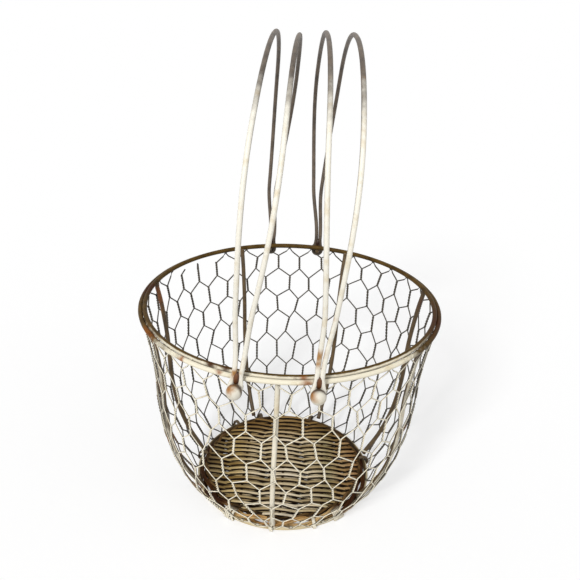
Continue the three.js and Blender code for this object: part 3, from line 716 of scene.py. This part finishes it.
# Paint starts only on faces that look well outwards, so each wire's edges stay dark: partly bare steel,
# partly painted shade along the sides
net_finish = painted_steel(
    "net_finish", NET_CREAM, NET_GREY, NET_RUST,
    {"Starts_At": 0.10, "Full_At": 0.65, "Patch_Size": 0.015, "Raggedness": 0.5},
    front={"Full_Depth": -0.080, "No_Depth": 0.000}, rust_amount=0.30, bump=0.00005,
    marks=[(-0.128, -0.020, 0.120, 0.022, NET_RUST), (-0.108, -0.028, 0.055, 0.026, NET_RUST),
           (-0.085, -0.048, 0.012, 0.032, NET_RUST), (0.118, -0.020, 0.060, 0.014, NET_RUST),
           (0.066, -0.070, 0.010, 0.016, NET_RUST)])
netting.data.materials.append(net_finish)
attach(netting, "basket")
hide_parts(*[f"netting_panel_{number}" for number in range(1, 8)])


# Woven base. A round mat of soft rush, twined from left to right over stakes that it hides. A row is two
# flat strands that change places between the stakes, and shows as a line of long low humps, tan to olive.
# Nearly black rows lie lower in the gaps, as a painted shade between the rows, and darker strands wound
# round each other bind the edge.
ROW_PITCH = 0.0071
ROW_STRAY = 0.0002
ROW_SWAY = 0.35
ROW_SWAY_STRAY = 0.12
ROW_SWAY_PER_ROW = 0.45
STAKE_SPACING = 0.0405
STAKE_OFFSET = 0.0005
STAKE_RADIUS = 0.0012
STAKE_SIDES = 10
STAKE_STEPS = 60
STAKE_INSIDE_EDGE = 0.002
WEAVE_RISE = 0.0024
WEAVE_SLANT = 0.0003
STRAND_HALF_WIDTH = 0.0022
STRAND_HALF_THICKNESS = 0.0016
STRAND_INSIDE_EDGE = 0.001
STRAND_TAPER = 0.0035
STRAND_TIP = 0.02
STRAND_SWELL = 0.05
STRAND_SWELL_ALONG = 210
STRAND_SWELL_BY_ROW = 900
STRAND_SWELL_STRAY = 0.04
STRAND_STEPS = 110
STRAND_SIDES = 12
SHADE_ROW_HALF_WIDTH = 0.0031
SHADE_ROW_HALF_THICKNESS = 0.0009
SHADE_ROW_BELOW = 0.0023
SHADE_ROW_RISE = 0.0004
SHADE_ROW_RISE_ALONG = 900
SHADE_ROW_STEPS = 55
SHADE_ROW_SIDES = 8
MAT_TURN = np.radians(-1.6)
MAT_PAST_NODE = 0.0056
EDGE_STRAND_RADIUS = 0.0017
EDGE_SPREAD = 0.0012
EDGE_TURNS = 19
EDGE_STEPS = 420
EDGE_SIDES = 10
SHORTEST_HALF = 0.001
MAT_SEED = 5
MAT_SHADES = (0, 0.6)

mat_low, mat_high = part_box("woven_base")
mat_reach = (mat_high.x - mat_low.x) / 2 + MAT_PAST_NODE
mat_middle = foot_middle + (0, 0, (mat_low.z + mat_high.z) / 2)
mat_rng = np.random.default_rng(MAT_SEED)
mat_turning = np.array([[np.cos(MAT_TURN), np.sin(MAT_TURN), 0], [-np.sin(MAT_TURN), np.cos(MAT_TURN), 0],
                        [0, 0, 1]])


def half_chord(offset, inside_edge):
    """Half the length of a straight strand that lies at an offset from the mat's middle and ends a little
    inside its edge: the square root of reach ** 2 - offset ** 2, or SHORTEST_HALF where that is less."""
    return np.sqrt(np.clip((mat_reach - inside_edge) ** 2 - offset ** 2, SHORTEST_HALF ** 2, None))


def on_mat(right, back, rise):
    """Points of the mat, from how far they lie to the right, to the back and up, turned with its rows."""
    return np.stack(np.broadcast_arrays(right, back, rise), -1) @ mat_turning + mat_middle


row_count = 2 * int(mat_reach / ROW_PITCH) + 1
row_y = (np.arange(row_count) - (row_count - 1) / 2) * ROW_PITCH
row_y = row_y + mat_rng.normal(0, ROW_STRAY, row_count)
row_sway = ROW_SWAY * np.sin(np.arange(row_count) * ROW_SWAY_PER_ROW + 1)
row_sway = row_sway + mat_rng.normal(0, ROW_SWAY_STRAY, row_count)
strand_y, strand_sway, strand_of_row = (values[:, None] for values in (
    np.repeat(row_y, 2), np.repeat(row_sway, 2), np.tile([0, 1], row_count)))
strand_half = half_chord(strand_y, STRAND_INSIDE_EDGE)
strand_x = np.linspace(-1, 1, STRAND_STEPS) * strand_half
strand_phase = np.pi * ((strand_x - STAKE_OFFSET) / STAKE_SPACING + strand_of_row) + strand_sway
strand_path = on_mat(strand_x, strand_y - WEAVE_SLANT * np.sin(strand_phase),
                     WEAVE_RISE * np.cos(strand_phase))
strand_taper = np.sqrt(np.clip((strand_half - np.abs(strand_x)) / STRAND_TAPER, STRAND_TIP, 1))
strand_swell = 1 + STRAND_SWELL * np.sin(strand_x * STRAND_SWELL_ALONG + strand_y * STRAND_SWELL_BY_ROW)
strand_swell = strand_swell + mat_rng.normal(0, STRAND_SWELL_STRAY, strand_y.shape)
flat_across = np.array([0, 1.0, 0]) @ mat_turning
strands = tube(strand_path, flat_across, STRAND_HALF_WIDTH * strand_taper * strand_swell, STRAND_SIDES,
               STRAND_HALF_THICKNESS / STRAND_HALF_WIDTH)

# Painted shade: nearly black flat rows set lower in the gaps between the mat's rows, where there is only
# shadow
shade_row_y = ((np.arange(row_count + 1) - row_count / 2) * ROW_PITCH)[:, None]
shade_row_x = np.linspace(-1, 1, SHADE_ROW_STEPS) * half_chord(shade_row_y, STRAND_INSIDE_EDGE)
shade_row_z = -SHADE_ROW_BELOW + SHADE_ROW_RISE * np.sin(SHADE_ROW_RISE_ALONG * shade_row_x)
shade_row_path = on_mat(shade_row_x, shade_row_y, shade_row_z)
shade_rows = tube(shade_row_path, flat_across, SHADE_ROW_HALF_WIDTH + 0 * shade_row_x, SHADE_ROW_SIDES,
               SHADE_ROW_HALF_THICKNESS / SHADE_ROW_HALF_WIDTH)

stake_x = STAKE_OFFSET + STAKE_SPACING * np.arange(-1, 2)[:, None]
stake_y = np.linspace(-1, 1, STAKE_STEPS) * half_chord(stake_x, STAKE_INSIDE_EDGE)
stakes = tube(on_mat(stake_x, stake_y, 0.0), np.array([1.0, 0, 0]), STAKE_RADIUS, STAKE_SIDES)

edge_bearing = np.linspace(0, 2 * np.pi, EDGE_STEPS, endpoint=False)
edge_phase = EDGE_TURNS * edge_bearing + np.pi * np.arange(2)[:, None]
edge_reach = mat_reach - EDGE_STRAND_RADIUS + EDGE_SPREAD * np.cos(edge_phase)
edge_path = mat_middle + round_the_axis(edge_bearing, edge_reach, EDGE_SPREAD * np.sin(edge_phase))
edge_strands = closed_tube(edge_path, UP, EDGE_STRAND_RADIUS, EDGE_SIDES)


def multiplied(tree, colour, by):
    """A colour times another, channel by channel."""
    return add_node(tree, "ShaderNodeVectorMath", operation="MULTIPLY", i0=colour, i1=by).outputs[0]


# A strand is lightest where patches, fibres and its own shade together are high, and its sides are darkened
# to a nearly black painted shade, where it lies against others.
# Its fibres stand up from it RUSH_FIBRE_RELIEF times as far as the groove between its twists goes down
RUSH_PAINTED_SHADE = "#1c1005"
RUSH_PATCHES = 26.0
RUSH_FIBRES = (90.0, 9.0, 1.0)
RUSH_FIBRE_SEEDS = 40.0
RUSH_FIBRE_RELIEF = 1.4
RUSH_DARKEST = 0.45
RUSH_LIGHTEST = 0.7
RUSH_SHADE_REACH = 0.5
RUSH_MIDDLE = 0.4
RUSH_ROUGHNESS = 0.7
RUSH_SHINE = 0.12
WHITE = (1, 1, 1, 1)


def rush(name, light, mid, dark, gap, twist_pitch, twist_depth=0.00012, spread=(1.6, 0.7), stain=None,
         brown_back=None):
    """Dry plant strand: tones that differ from strand to strand, along each one and over the whole piece,
    fine fibres along it, a slanting groove where it is twisted, and a dark painted shade on its sides where
    it lies on others. Gap says how level a face is where that painted shade ends, and spread how far the
    patches and the fibres change the tone. Stain tints it by the place from left to right, in metres, and
    brown_back darkens it behind a depth. The UV map gives the length and the way round."""
    material, tree = empty_material(name)
    place = add_node(tree, "ShaderNodeTexCoord").outputs
    shade = add_node(tree, "ShaderNodeAttribute", attribute_name="shade").outputs["Fac"]
    fibre_place = add_node(tree, "ShaderNodeMapping", Vector=place["UV"], Scale=RUSH_FIBRES).outputs[0]
    fibre_seed = maths(tree, "MULTIPLY", shade, RUSH_FIBRE_SEEDS)
    fibre = noise(tree, fibre_place, 1.0, detail=4.0, roughness=0.6, noise_dimensions="4D", W=fibre_seed)
    patch = noise(tree, place["Object"], RUSH_PATCHES, detail=3.0, roughness=0.5)
    tone = maths(tree, "MULTIPLY_ADD", patch, spread[0], shade)
    tone = maths(tree, "MULTIPLY_ADD", fibre, spread[1], tone)
    toned = from_to(tree, tone, RUSH_DARKEST * sum(spread), RUSH_LIGHTEST * sum(spread) + RUSH_SHADE_REACH)
    ramp = add_node(tree, "ShaderNodeValToRGB", i0=toned)
    ramp.color_ramp.elements[0].color = linear(dark)
    ramp.color_ramp.elements[1].color = linear(light)
    ramp.color_ramp.elements.new(RUSH_MIDDLE).color = linear(mid)
    colour = ramp.outputs[0]
    right, back, _ = add_node(tree, "ShaderNodeSeparateXYZ", Vector=place["Object"]).outputs
    if stain:
        leftmost, rightmost = stain[0][0], stain[-1][0]
        tint = add_node(tree, "ShaderNodeValToRGB", i0=from_to(tree, right, leftmost, rightmost))
        for number, (stain_place, stain_colour) in enumerate(stain):
            share = (stain_place - leftmost) / (rightmost - leftmost)
            stop = tint.color_ramp.elements[number] if number < 2 else tint.color_ramp.elements.new(share)
            stop.position, stop.color = share, linear(stain_colour)
        colour = multiplied(tree, colour, tint.outputs[0])
    if brown_back:
        back_start, back_end, back_brown = brown_back
        behind = from_to(tree, back, back_start, back_end, gently=True)
        colour = multiplied(tree, colour, blend_colours(tree, behind, WHITE, linear(back_brown)))
    # Painted shade: faces that look sideways are darkened to nearly black, where strands lie in each other's
    # shadow
    up = add_node(tree, "ShaderNodeSeparateXYZ", Vector=place["Normal"]).outputs["Z"]
    clear_of_painted_shade = from_to(tree, maths(tree, "ABSOLUTE", up), *gap, gently=True)
    colour = blend_colours(tree, clear_of_painted_shade, linear(RUSH_PAINTED_SHADE), colour)
    along, round_it, _ = add_node(tree, "ShaderNodeSeparateXYZ", Vector=place["UV"]).outputs
    slant = maths(tree, "MULTIPLY", along, 2 * np.pi / twist_pitch)
    groove = maths(tree, "SINE", maths(tree, "MULTIPLY_ADD", round_it, 4 * np.pi, slant))
    height = maths(tree, "MULTIPLY_ADD", fibre, RUSH_FIBRE_RELIEF, groove)
    relief = add_node(tree, "ShaderNodeBump", Height=height, Distance=twist_depth, Strength=1.0)
    shader = add_node(tree, "ShaderNodeBsdfPrincipled", Base_Color=colour, Roughness=RUSH_ROUGHNESS,
                      Normal=relief.outputs[0], Specular_IOR_Level=RUSH_SHINE)
    add_node(tree, "ShaderNodeOutputMaterial", Surface=shader.outputs[0])
    return material


MAT_STAIN = [(-0.080, "#8d7e62"), (-0.062, "#c2b38c"), (-0.050, "#ead9ac"), (-0.036, "#f8f0dc"),
             (0.0, "#fffaf0"), (0.030, "#f4ecd8"), (0.045, "#c8c2a4"), (0.058, "#d4bc98"), (0.080, "#a47c54")]
mat_finish = rush("mat_finish", "#f2e9d8", "#d2c3a4", "#98835c", gap=(0.64, 0.86), twist_pitch=0.012,
                  spread=(0.6, 0.35), stain=MAT_STAIN, brown_back=(0.010, 0.070, "#ccb894"))
# The rows in the gaps are nearly black: a painted shade
packing_finish = rush("packing_finish", "#2e1e0c", "#1e1207", "#120a03", gap=(0.1, 0.7), twist_pitch=0.006)
edge_finish = rush("edge_finish", "#7a5c38", "#56401f", "#2e1e0d", gap=(0.2, 0.8), twist_pitch=0.006)
mat_weft = skin("mat_weft", [strands], shades=[np.repeat(mat_rng.uniform(*MAT_SHADES, row_count), 2)])
mat_packing = skin("mat_packing", [shade_rows], shades=[mat_rng.uniform(*MAT_SHADES, row_count + 1)])
mat_stakes = skin("mat_stakes", [stakes], shades=[np.linspace(0.0, 0.2, 3)])
mat_edge = skin("mat_edge", [edge_strands], closed=True, shades=[np.array([0.1, 0.5])])
for woven_piece, woven_finish in ((mat_weft, mat_finish), (mat_packing, packing_finish),
                                  (mat_stakes, edge_finish), (mat_edge, edge_finish)):
    woven_piece.data.materials.append(woven_finish)
    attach(woven_piece, "basket")
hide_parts("woven_base")


# Border. Two bundles of three split canes are twined round each other along the edge of the mat.
# They cross fourteen times, and open into a long eye between two crossings. In front they are tan, and
# elsewhere dark brown.
BORDER_INSIDE_FOOT = 0.0028
BORDER_TIGHTER_BEHIND = 0.0034
BORDER_LOWER_BEHIND = 0.0012
BORDER_SPREAD = 0.0029
BORDER_CLOSED_BEHIND = 0.4
BORDER_BEHIND_FROM = 0.5
BORDER_BEHIND_OVER = 0.6
CANE_RADIUS = 0.0012
CANES_IN_BUNDLE = 3
CANE_GAP = 0.0012
BORDER_CROSSINGS = 14
FIRST_CROSSING = -6.0
CANE_STEPS = 420
CANE_SIDES = 10

border_low, border_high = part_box("border_strand_a")
border_reach = foot_reach - BORDER_INSIDE_FOOT
border_height = (border_low.z + border_high.z) / 2


def cane_path(bundle, cane):
    """One cane of a bundle, once round the basket. The bundle's middle circles the border's line, at the
    angle a = crossings / 2 * bearing, and half a turn on for the other bundle: it lies spread cos a outwards
    and spread sin a upwards. The cane lies off that middle by the cane's gap, and winds round it in step, a
    third of a turn from the next one. Behind the front third the border lies tighter under the mat, by
    (BORDER_BEHIND_FROM - cos bearing) / BORDER_BEHIND_OVER, held from 0 to 1."""
    bearing = np.linspace(0, 2 * np.pi, CANE_STEPS, endpoint=False)
    behind = np.clip((BORDER_BEHIND_FROM - np.cos(bearing)) / BORDER_BEHIND_OVER, 0, 1)
    spread = BORDER_SPREAD * (1 - BORDER_CLOSED_BEHIND * behind)
    angle = BORDER_CROSSINGS / 2 * (bearing - np.radians(FIRST_CROSSING)) + np.pi * bundle
    lay = angle + 2 * np.pi * cane / CANES_IN_BUNDLE
    reach = border_reach - BORDER_TIGHTER_BEHIND * behind + spread * np.cos(angle) + CANE_GAP * np.cos(lay)
    height = border_height - BORDER_LOWER_BEHIND * behind + spread * np.sin(angle) + CANE_GAP * np.sin(lay)
    return foot_middle + round_the_axis(bearing, reach, height)


cane_paths = np.stack([cane_path(bundle, cane) for bundle in (0, 1) for cane in range(CANES_IN_BUNDLE)])
canes = closed_tube(cane_paths, UP, CANE_RADIUS, CANE_SIDES)
cane_finish = rush("cane_finish", "#e0c28c", "#b88c54", "#5e3d1e", gap=(-0.3, 0.5), twist_pitch=0.03,
                   twist_depth=0.00006, brown_back=(-0.082, -0.066, "#523a22"))
border = skin("twined_border", [canes], closed=True, shades=[np.linspace(0.25, 0.85, 2 * CANES_IN_BUNDLE)])
border.data.materials.append(cane_finish)
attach(border, "basket")
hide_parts("border_strand_a", "border_strand_b")


# Ties. Ten lengths of thin painted wire tie the border to the foot. Each is wound round the two of them,
# at a bearing from the front in degrees, by a number of turns over a number of degrees.
TIE_WIRE_RADIUS = 0.0009
TIE_HALF_WIDTH = 0.0058
TIE_HALF_HEIGHT = 0.0056
TIE_STEPS = 24
TIE_SIDES = 6
TIES = {-35.0: (4, 5.0), -31.0: (2, 1.2), -6.0: (3, 1.6), 20.5: (3, 1.6), 37.5: (6, 7.0), 98.0: (3, 2.0),
        160.0: (3, 2.0), 199.0: (3, 2.0), 219.0: (3, 2.0), 262.0: (3, 2.0)}

tie_bundles = []
for tie_bearing, (tie_turns, tie_degrees) in TIES.items():
    tie_turn = np.linspace(0, 2 * np.pi * tie_turns, TIE_STEPS * tie_turns)
    tie_round = np.radians(tie_bearing + tie_degrees * (tie_turn / tie_turn[-1] - 0.5))
    tie_reach = (foot_reach + border_reach) / 2 + TIE_HALF_WIDTH * np.cos(tie_turn)
    tie_height = (foot_height + border_height) / 2 + TIE_HALF_HEIGHT * np.sin(tie_turn)
    tie_path = foot_middle + round_the_axis(tie_round, tie_reach, np.maximum(tie_height, TIE_WIRE_RADIUS))
    tie_side = round_the_axis(tie_round + np.pi / 2, 1.0, 0.0)
    tie_bundles.append(tube(tie_path, tie_side, TIE_WIRE_RADIUS, TIE_SIDES)[None])
ties = skin("foot_ties", tie_bundles)
ties.data.materials.append(frame_finish)
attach(ties, "basket")


# Pivots. Each handle turns on two pins of 4 mm wire under the rim, with a ball brazed on the outer end.
# A lump of braze holds each pin to the rim. The balls are painted cream, and the two in front have a rust
# spot.
PIN_RADIUS = 0.00198
PIN_SIDES = 20
PIN_STEPS = 8
PIN_INTO_BALL = 0.001
PIN_BRAZE_RISE = 0.0022
PIN_BRAZE_RADIUS = 0.0026
PIN_BRAZE_HALF_HEIGHT = 0.0030
PIN_BRAZE_RINGS = 10
PIN_BRAZE_SIDES = 14
BALL_RADIUS = 0.0063
BALL_RINGS = 24
BALL_SIDES = 36
BALL_CREAM = "#e6e0d0"
BALL_STEEL = "#5a4630"
BALL_RUST = "#a3691f"
HINGE_ENDS = {"front": -1, "back": 1}

ball_finish = painted_steel(
    "ball_finish", BALL_CREAM, BALL_STEEL, BALL_RUST,
    {"Starts_At": 0.0, "Full_At": 0.5, "Patch_Size": 0.008, "Raggedness": 0.5},
    rust_amount=0.30, blotch=0.012,
    marks=[(0.0188, -0.1538, 0.1953, 0.0055, BALL_RUST), (-0.0445, -0.1507, 0.1968, 0.0050, BALL_RUST)])


def hinge_of(joint):
    """A handle's side, the middle of its hinge, the hinge's direction to the back, and how far along it the
    balls' tips are."""
    side = joint["child"].replace("_handle", "")
    front_tip, back_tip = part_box(f"{side}_front_ball")[0].y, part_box(f"{side}_back_ball")[1].y
    axis = np.array(joint["axis"])
    return side, np.array(joint["pos_m"]), axis, (back_tip - front_tip) / 2 / axis[1]


def lump(middle, lengthwise, across, half_length, radius, rings, sides, fullness=1.0):
    """Surface of a round lump: a tube along middle + half_length * sin a * lengthwise, for the angle a from
    -90 to 90 degrees, whose radius is radius * (cos a) ** fullness."""
    angle = np.linspace(-np.pi / 2, np.pi / 2, rings + 2)[1:-1]
    path = middle + half_length * np.sin(angle)[:, None] * lengthwise
    return tube(path, across, radius * np.cos(angle) ** fullness, sides)


for joint in frame["joints"]:
    side, hinge_middle, hinge_axis, tip_distance = hinge_of(joint)
    for end, facing in HINGE_ENDS.items():
        outward = facing * hinge_axis
        pin_low, pin_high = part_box(f"{side}_{end}_pivot_pin")
        pin_root = min(abs(pin_low.y), abs(pin_high.y)) / hinge_axis[1]
        pin_tip = tip_distance - 2 * BALL_RADIUS + PIN_INTO_BALL
        pin_path = hinge_middle + np.linspace(pin_root, pin_tip, PIN_STEPS)[:, None] * outward
        under_rim = hinge_middle + np.sqrt(rim_reach ** 2 - hinge_middle[0] ** 2) * outward
        pin_braze = lump(under_rim + PIN_BRAZE_RISE * UP, UP, np.array([1.0, 0, 0]), PIN_BRAZE_HALF_HEIGHT,
                         PIN_BRAZE_RADIUS, PIN_BRAZE_RINGS, PIN_BRAZE_SIDES)
        pin = skin(f"{side}_{end}_pin", [tube(pin_path, UP, PIN_RADIUS, PIN_SIDES)[None], pin_braze[None]])
        pin.data.materials.append(frame_finish)
        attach(pin, "basket")
        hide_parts(f"{side}_{end}_pivot_pin")
        ball_middle = hinge_middle + (tip_distance - BALL_RADIUS) * outward
        ball = skin(f"{side}_{end}_knob", [
            lump(ball_middle, outward, UP, BALL_RADIUS, BALL_RADIUS, BALL_RINGS, BALL_SIDES)[None]])
        ball.data.materials.append(ball_finish)
        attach(ball, "basket")
        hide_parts(f"{side}_{end}_ball")


# Handles. Each is one closed loop of 4 mm wire that makes two arches. Just above each end the two wires
# are drawn together and brazed, and below that they open again and pass round the pin.
HANDLE_WIRE_RADIUS = 0.002
HANDLE_SIDES = 14
LEG_STEPS = 24
TOP_STEPS = 60
EYE_STEPS = 14
HANDLE_HEIGHT = 0.2456
HANDLE_HALF_WIDTH = 0.1525
HANDLE_STRAIGHT = 0.111
HANDLE_SQUARENESS = 2.2
SPREAD_HEIGHT = 0.198
DRIFT_HEIGHT = 0.060
BOW_POWER = 0.95
BOW_GONE_AT = 0.7
BOW_FADES_OVER = 0.5
PINCH_HEIGHT = 0.013
PINCH_HALF = 0.0021
NECK_BELOW_PINCH = 0.0045
NECK_HALF = PINCH_HALF + 0.0005
EYE_RADIUS = 0.0044
EYE_DEGREES = (-90, 35)
EYE_TWIST_ENDS = 0.004
EYE_TWIST_LENGTH = 0.012
BALL_TIP_TO_EYE = 0.01369
BRAZE_RADIUS = 0.0029
BRAZE_HALF_LENGTH = 0.0055
BRAZE_BELOW_PINCH = 0.0044
BRAZE_FULLNESS = 0.7
BRAZE_RINGS = 12
BRAZE_SIDES = 14
# How far a handle leans to the right, in degrees, and how far its arches part and its legs bend, in metres
HANDLE_BENDS = {
    "left": {"lean": 6.4, "half_spread": 0.0098, "front_drift": -0.0027, "back_drift": -0.0074,
             "front_bow": 0.0062},
    "right": {"lean": 2.1, "half_spread": 0.0116, "front_drift": 0.0034, "back_drift": -0.0056,
              "front_bow": 0.0},
}
HANDLE_CREAM = "#f9f4e6"
HANDLE_GREY = "#6b5d4e"
HANDLE_RUST = "#a8742c"
BRAZE_BROWN = "#3a1d0b"
BRAZE_TAN = "#6b3f1a"


def ease(share):
    """A share that starts and ends gently: 3 t^2 - 2 t^3."""
    share = np.clip(share, 0, 1)
    return share * share * (3 - 2 * share)


def handle_loop(half_hinge, half_spread, front_drift, back_drift, front_bow):
    """The middle of the handle's wire, as columns: along the hinge, aside, and up. One half arch is an eye
    about the pin, a leg that rises and bows out by ease(t), and a top that is a quarter of a rounded square,
    (cos t) ** p along and (sin t) ** p up with p = 2 / squareness. The two arches part by ease(height), and
    the legs are bent aside by a drift that goes from the front's to the back's along the hinge. The front leg
    of the right arch bows to the right by front_bow * sin(pi * height ** BOW_POWER), for the share of the
    height, and the bow is gone at BOW_GONE_AT of the way to the back."""
    eye = np.radians(np.linspace(*EYE_DEGREES, EYE_STEPS))
    eye_part = np.stack([half_hinge + 0 * eye, EYE_RADIUS * np.cos(eye), EYE_RADIUS * np.sin(eye)], -1)
    neck_part = np.array([[half_hinge, NECK_HALF, PINCH_HEIGHT - NECK_BELOW_PINCH]])
    rise = np.linspace(0, 1, LEG_STEPS)
    turn = np.linspace(0, np.pi / 2, TOP_STEPS)[1:]
    power = 2 / HANDLE_SQUARENESS
    up = np.concatenate([PINCH_HEIGHT + (HANDLE_STRAIGHT - PINCH_HEIGHT) * rise,
                         HANDLE_STRAIGHT + (HANDLE_HEIGHT - HANDLE_STRAIGHT) * np.sin(turn) ** power])
    along = np.concatenate([half_hinge + (HANDLE_HALF_WIDTH - half_hinge) * ease(rise),
                            HANDLE_HALF_WIDTH * np.clip(np.cos(turn), 0, 1) ** power])
    parted = ease((up - PINCH_HEIGHT) / (SPREAD_HEIGHT - PINCH_HEIGHT))
    aside = PINCH_HALF + (half_spread - PINCH_HALF) * parted
    half = np.concatenate([eye_part, neck_part, np.stack([along, aside, up], -1)])
    arch = np.concatenate([half, half[-2::-1] * (-1, 1, 1)])
    loop = np.concatenate([arch, arch[-2:0:-1] * (1, -1, 1)])
    to_back = (1 + loop[:, 0] / HANDLE_HALF_WIDTH) / 2
    drift = front_drift + (back_drift - front_drift) * to_back
    bow = front_bow * np.sin(np.pi * np.clip(loop[:, 2] / HANDLE_HEIGHT, 0, 1) ** BOW_POWER)
    bow *= ease((BOW_GONE_AT - to_back) / BOW_FADES_OVER) * (loop[:, 1] > 0)
    loop[:, 1] += drift * ease((loop[:, 2] - PINCH_HEIGHT) / DRIFT_HEIGHT) + bow
    return loop


# The handles' tops come out darker through the height share: partly bare steel, partly painted shade where
# less light reaches them
handle_finish = painted_steel(
    "handle_finish", HANDLE_CREAM, HANDLE_GREY, HANDLE_RUST,
    {"Starts_At": -0.35, "Full_At": 0.4, "Patch_Size": 0.020, "Raggedness": 0.5},
    front={"Full_Depth": -0.090, "No_Depth": -0.010, "Height_Share": 0.5}, rust_amount=0.30,
    marks=[(0.0232, -0.1468, 0.2266, 0.0060, HANDLE_RUST), (0.0225, -0.1461, 0.2182, 0.0055, HANDLE_RUST),
           (0.0325, -0.1478, 0.2609, 0.0045, HANDLE_RUST), (0.0600, -0.1440, 0.3350, 0.0045, HANDLE_RUST),
           (-0.0411, -0.1428, 0.2056, 0.0045, HANDLE_RUST)])

braze_finish = painted_steel(
    "braze_finish", BRAZE_TAN, BRAZE_BROWN, RIM_RUST,
    {"Starts_At": 0.3, "Full_At": 1.1, "Patch_Size": 0.006, "Raggedness": 0.9},
    rust_amount=0.42, blotch=0.006)

for joint in frame["joints"]:
    side, hinge_middle, hinge_axis, tip_distance = hinge_of(joint)
    bends = dict(HANDLE_BENDS[side])
    lean = np.radians(bends.pop("lean"))
    level = np.cross(hinge_axis, UP)
    leaned_side = level * np.cos(lean) - UP * np.sin(lean)
    leaned_up = UP * np.cos(lean) + level * np.sin(lean)
    half_hinge = tip_distance - BALL_TIP_TO_EYE
    loop = handle_loop(half_hinge, **bends)
    along, aside, up = loop[:, :1], loop[:, 1:2], loop[:, 2:]
    loop_path = hinge_middle + along * hinge_axis + aside * leaned_side + up * leaned_up
    at_eye = 1 - ease((up - EYE_TWIST_ENDS) / EYE_TWIST_LENGTH)
    loop_side = hinge_axis * at_eye + leaned_side * (1 - at_eye)
    handle = skin(f"{side}_bail", [closed_tube(loop_path, loop_side, HANDLE_WIRE_RADIUS, HANDLE_SIDES)[None]],
                  closed=True)
    braze_up = (PINCH_HEIGHT - BRAZE_BELOW_PINCH) * leaned_up
    lumps = skin(f"{side}_braze", [np.stack([
        lump(hinge_middle + facing * half_hinge * hinge_axis + braze_up, leaned_up, leaned_side,
             BRAZE_HALF_LENGTH, BRAZE_RADIUS, BRAZE_RINGS, BRAZE_SIDES, BRAZE_FULLNESS)
        for facing in HINGE_ENDS.values()])])
    for handle_piece, piece_finish in ((handle, handle_finish), (lumps, braze_finish)):
        handle_piece.data.materials.append(piece_finish)
        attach(handle_piece, f"{side}_handle")
    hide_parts(f"{side}_handle")
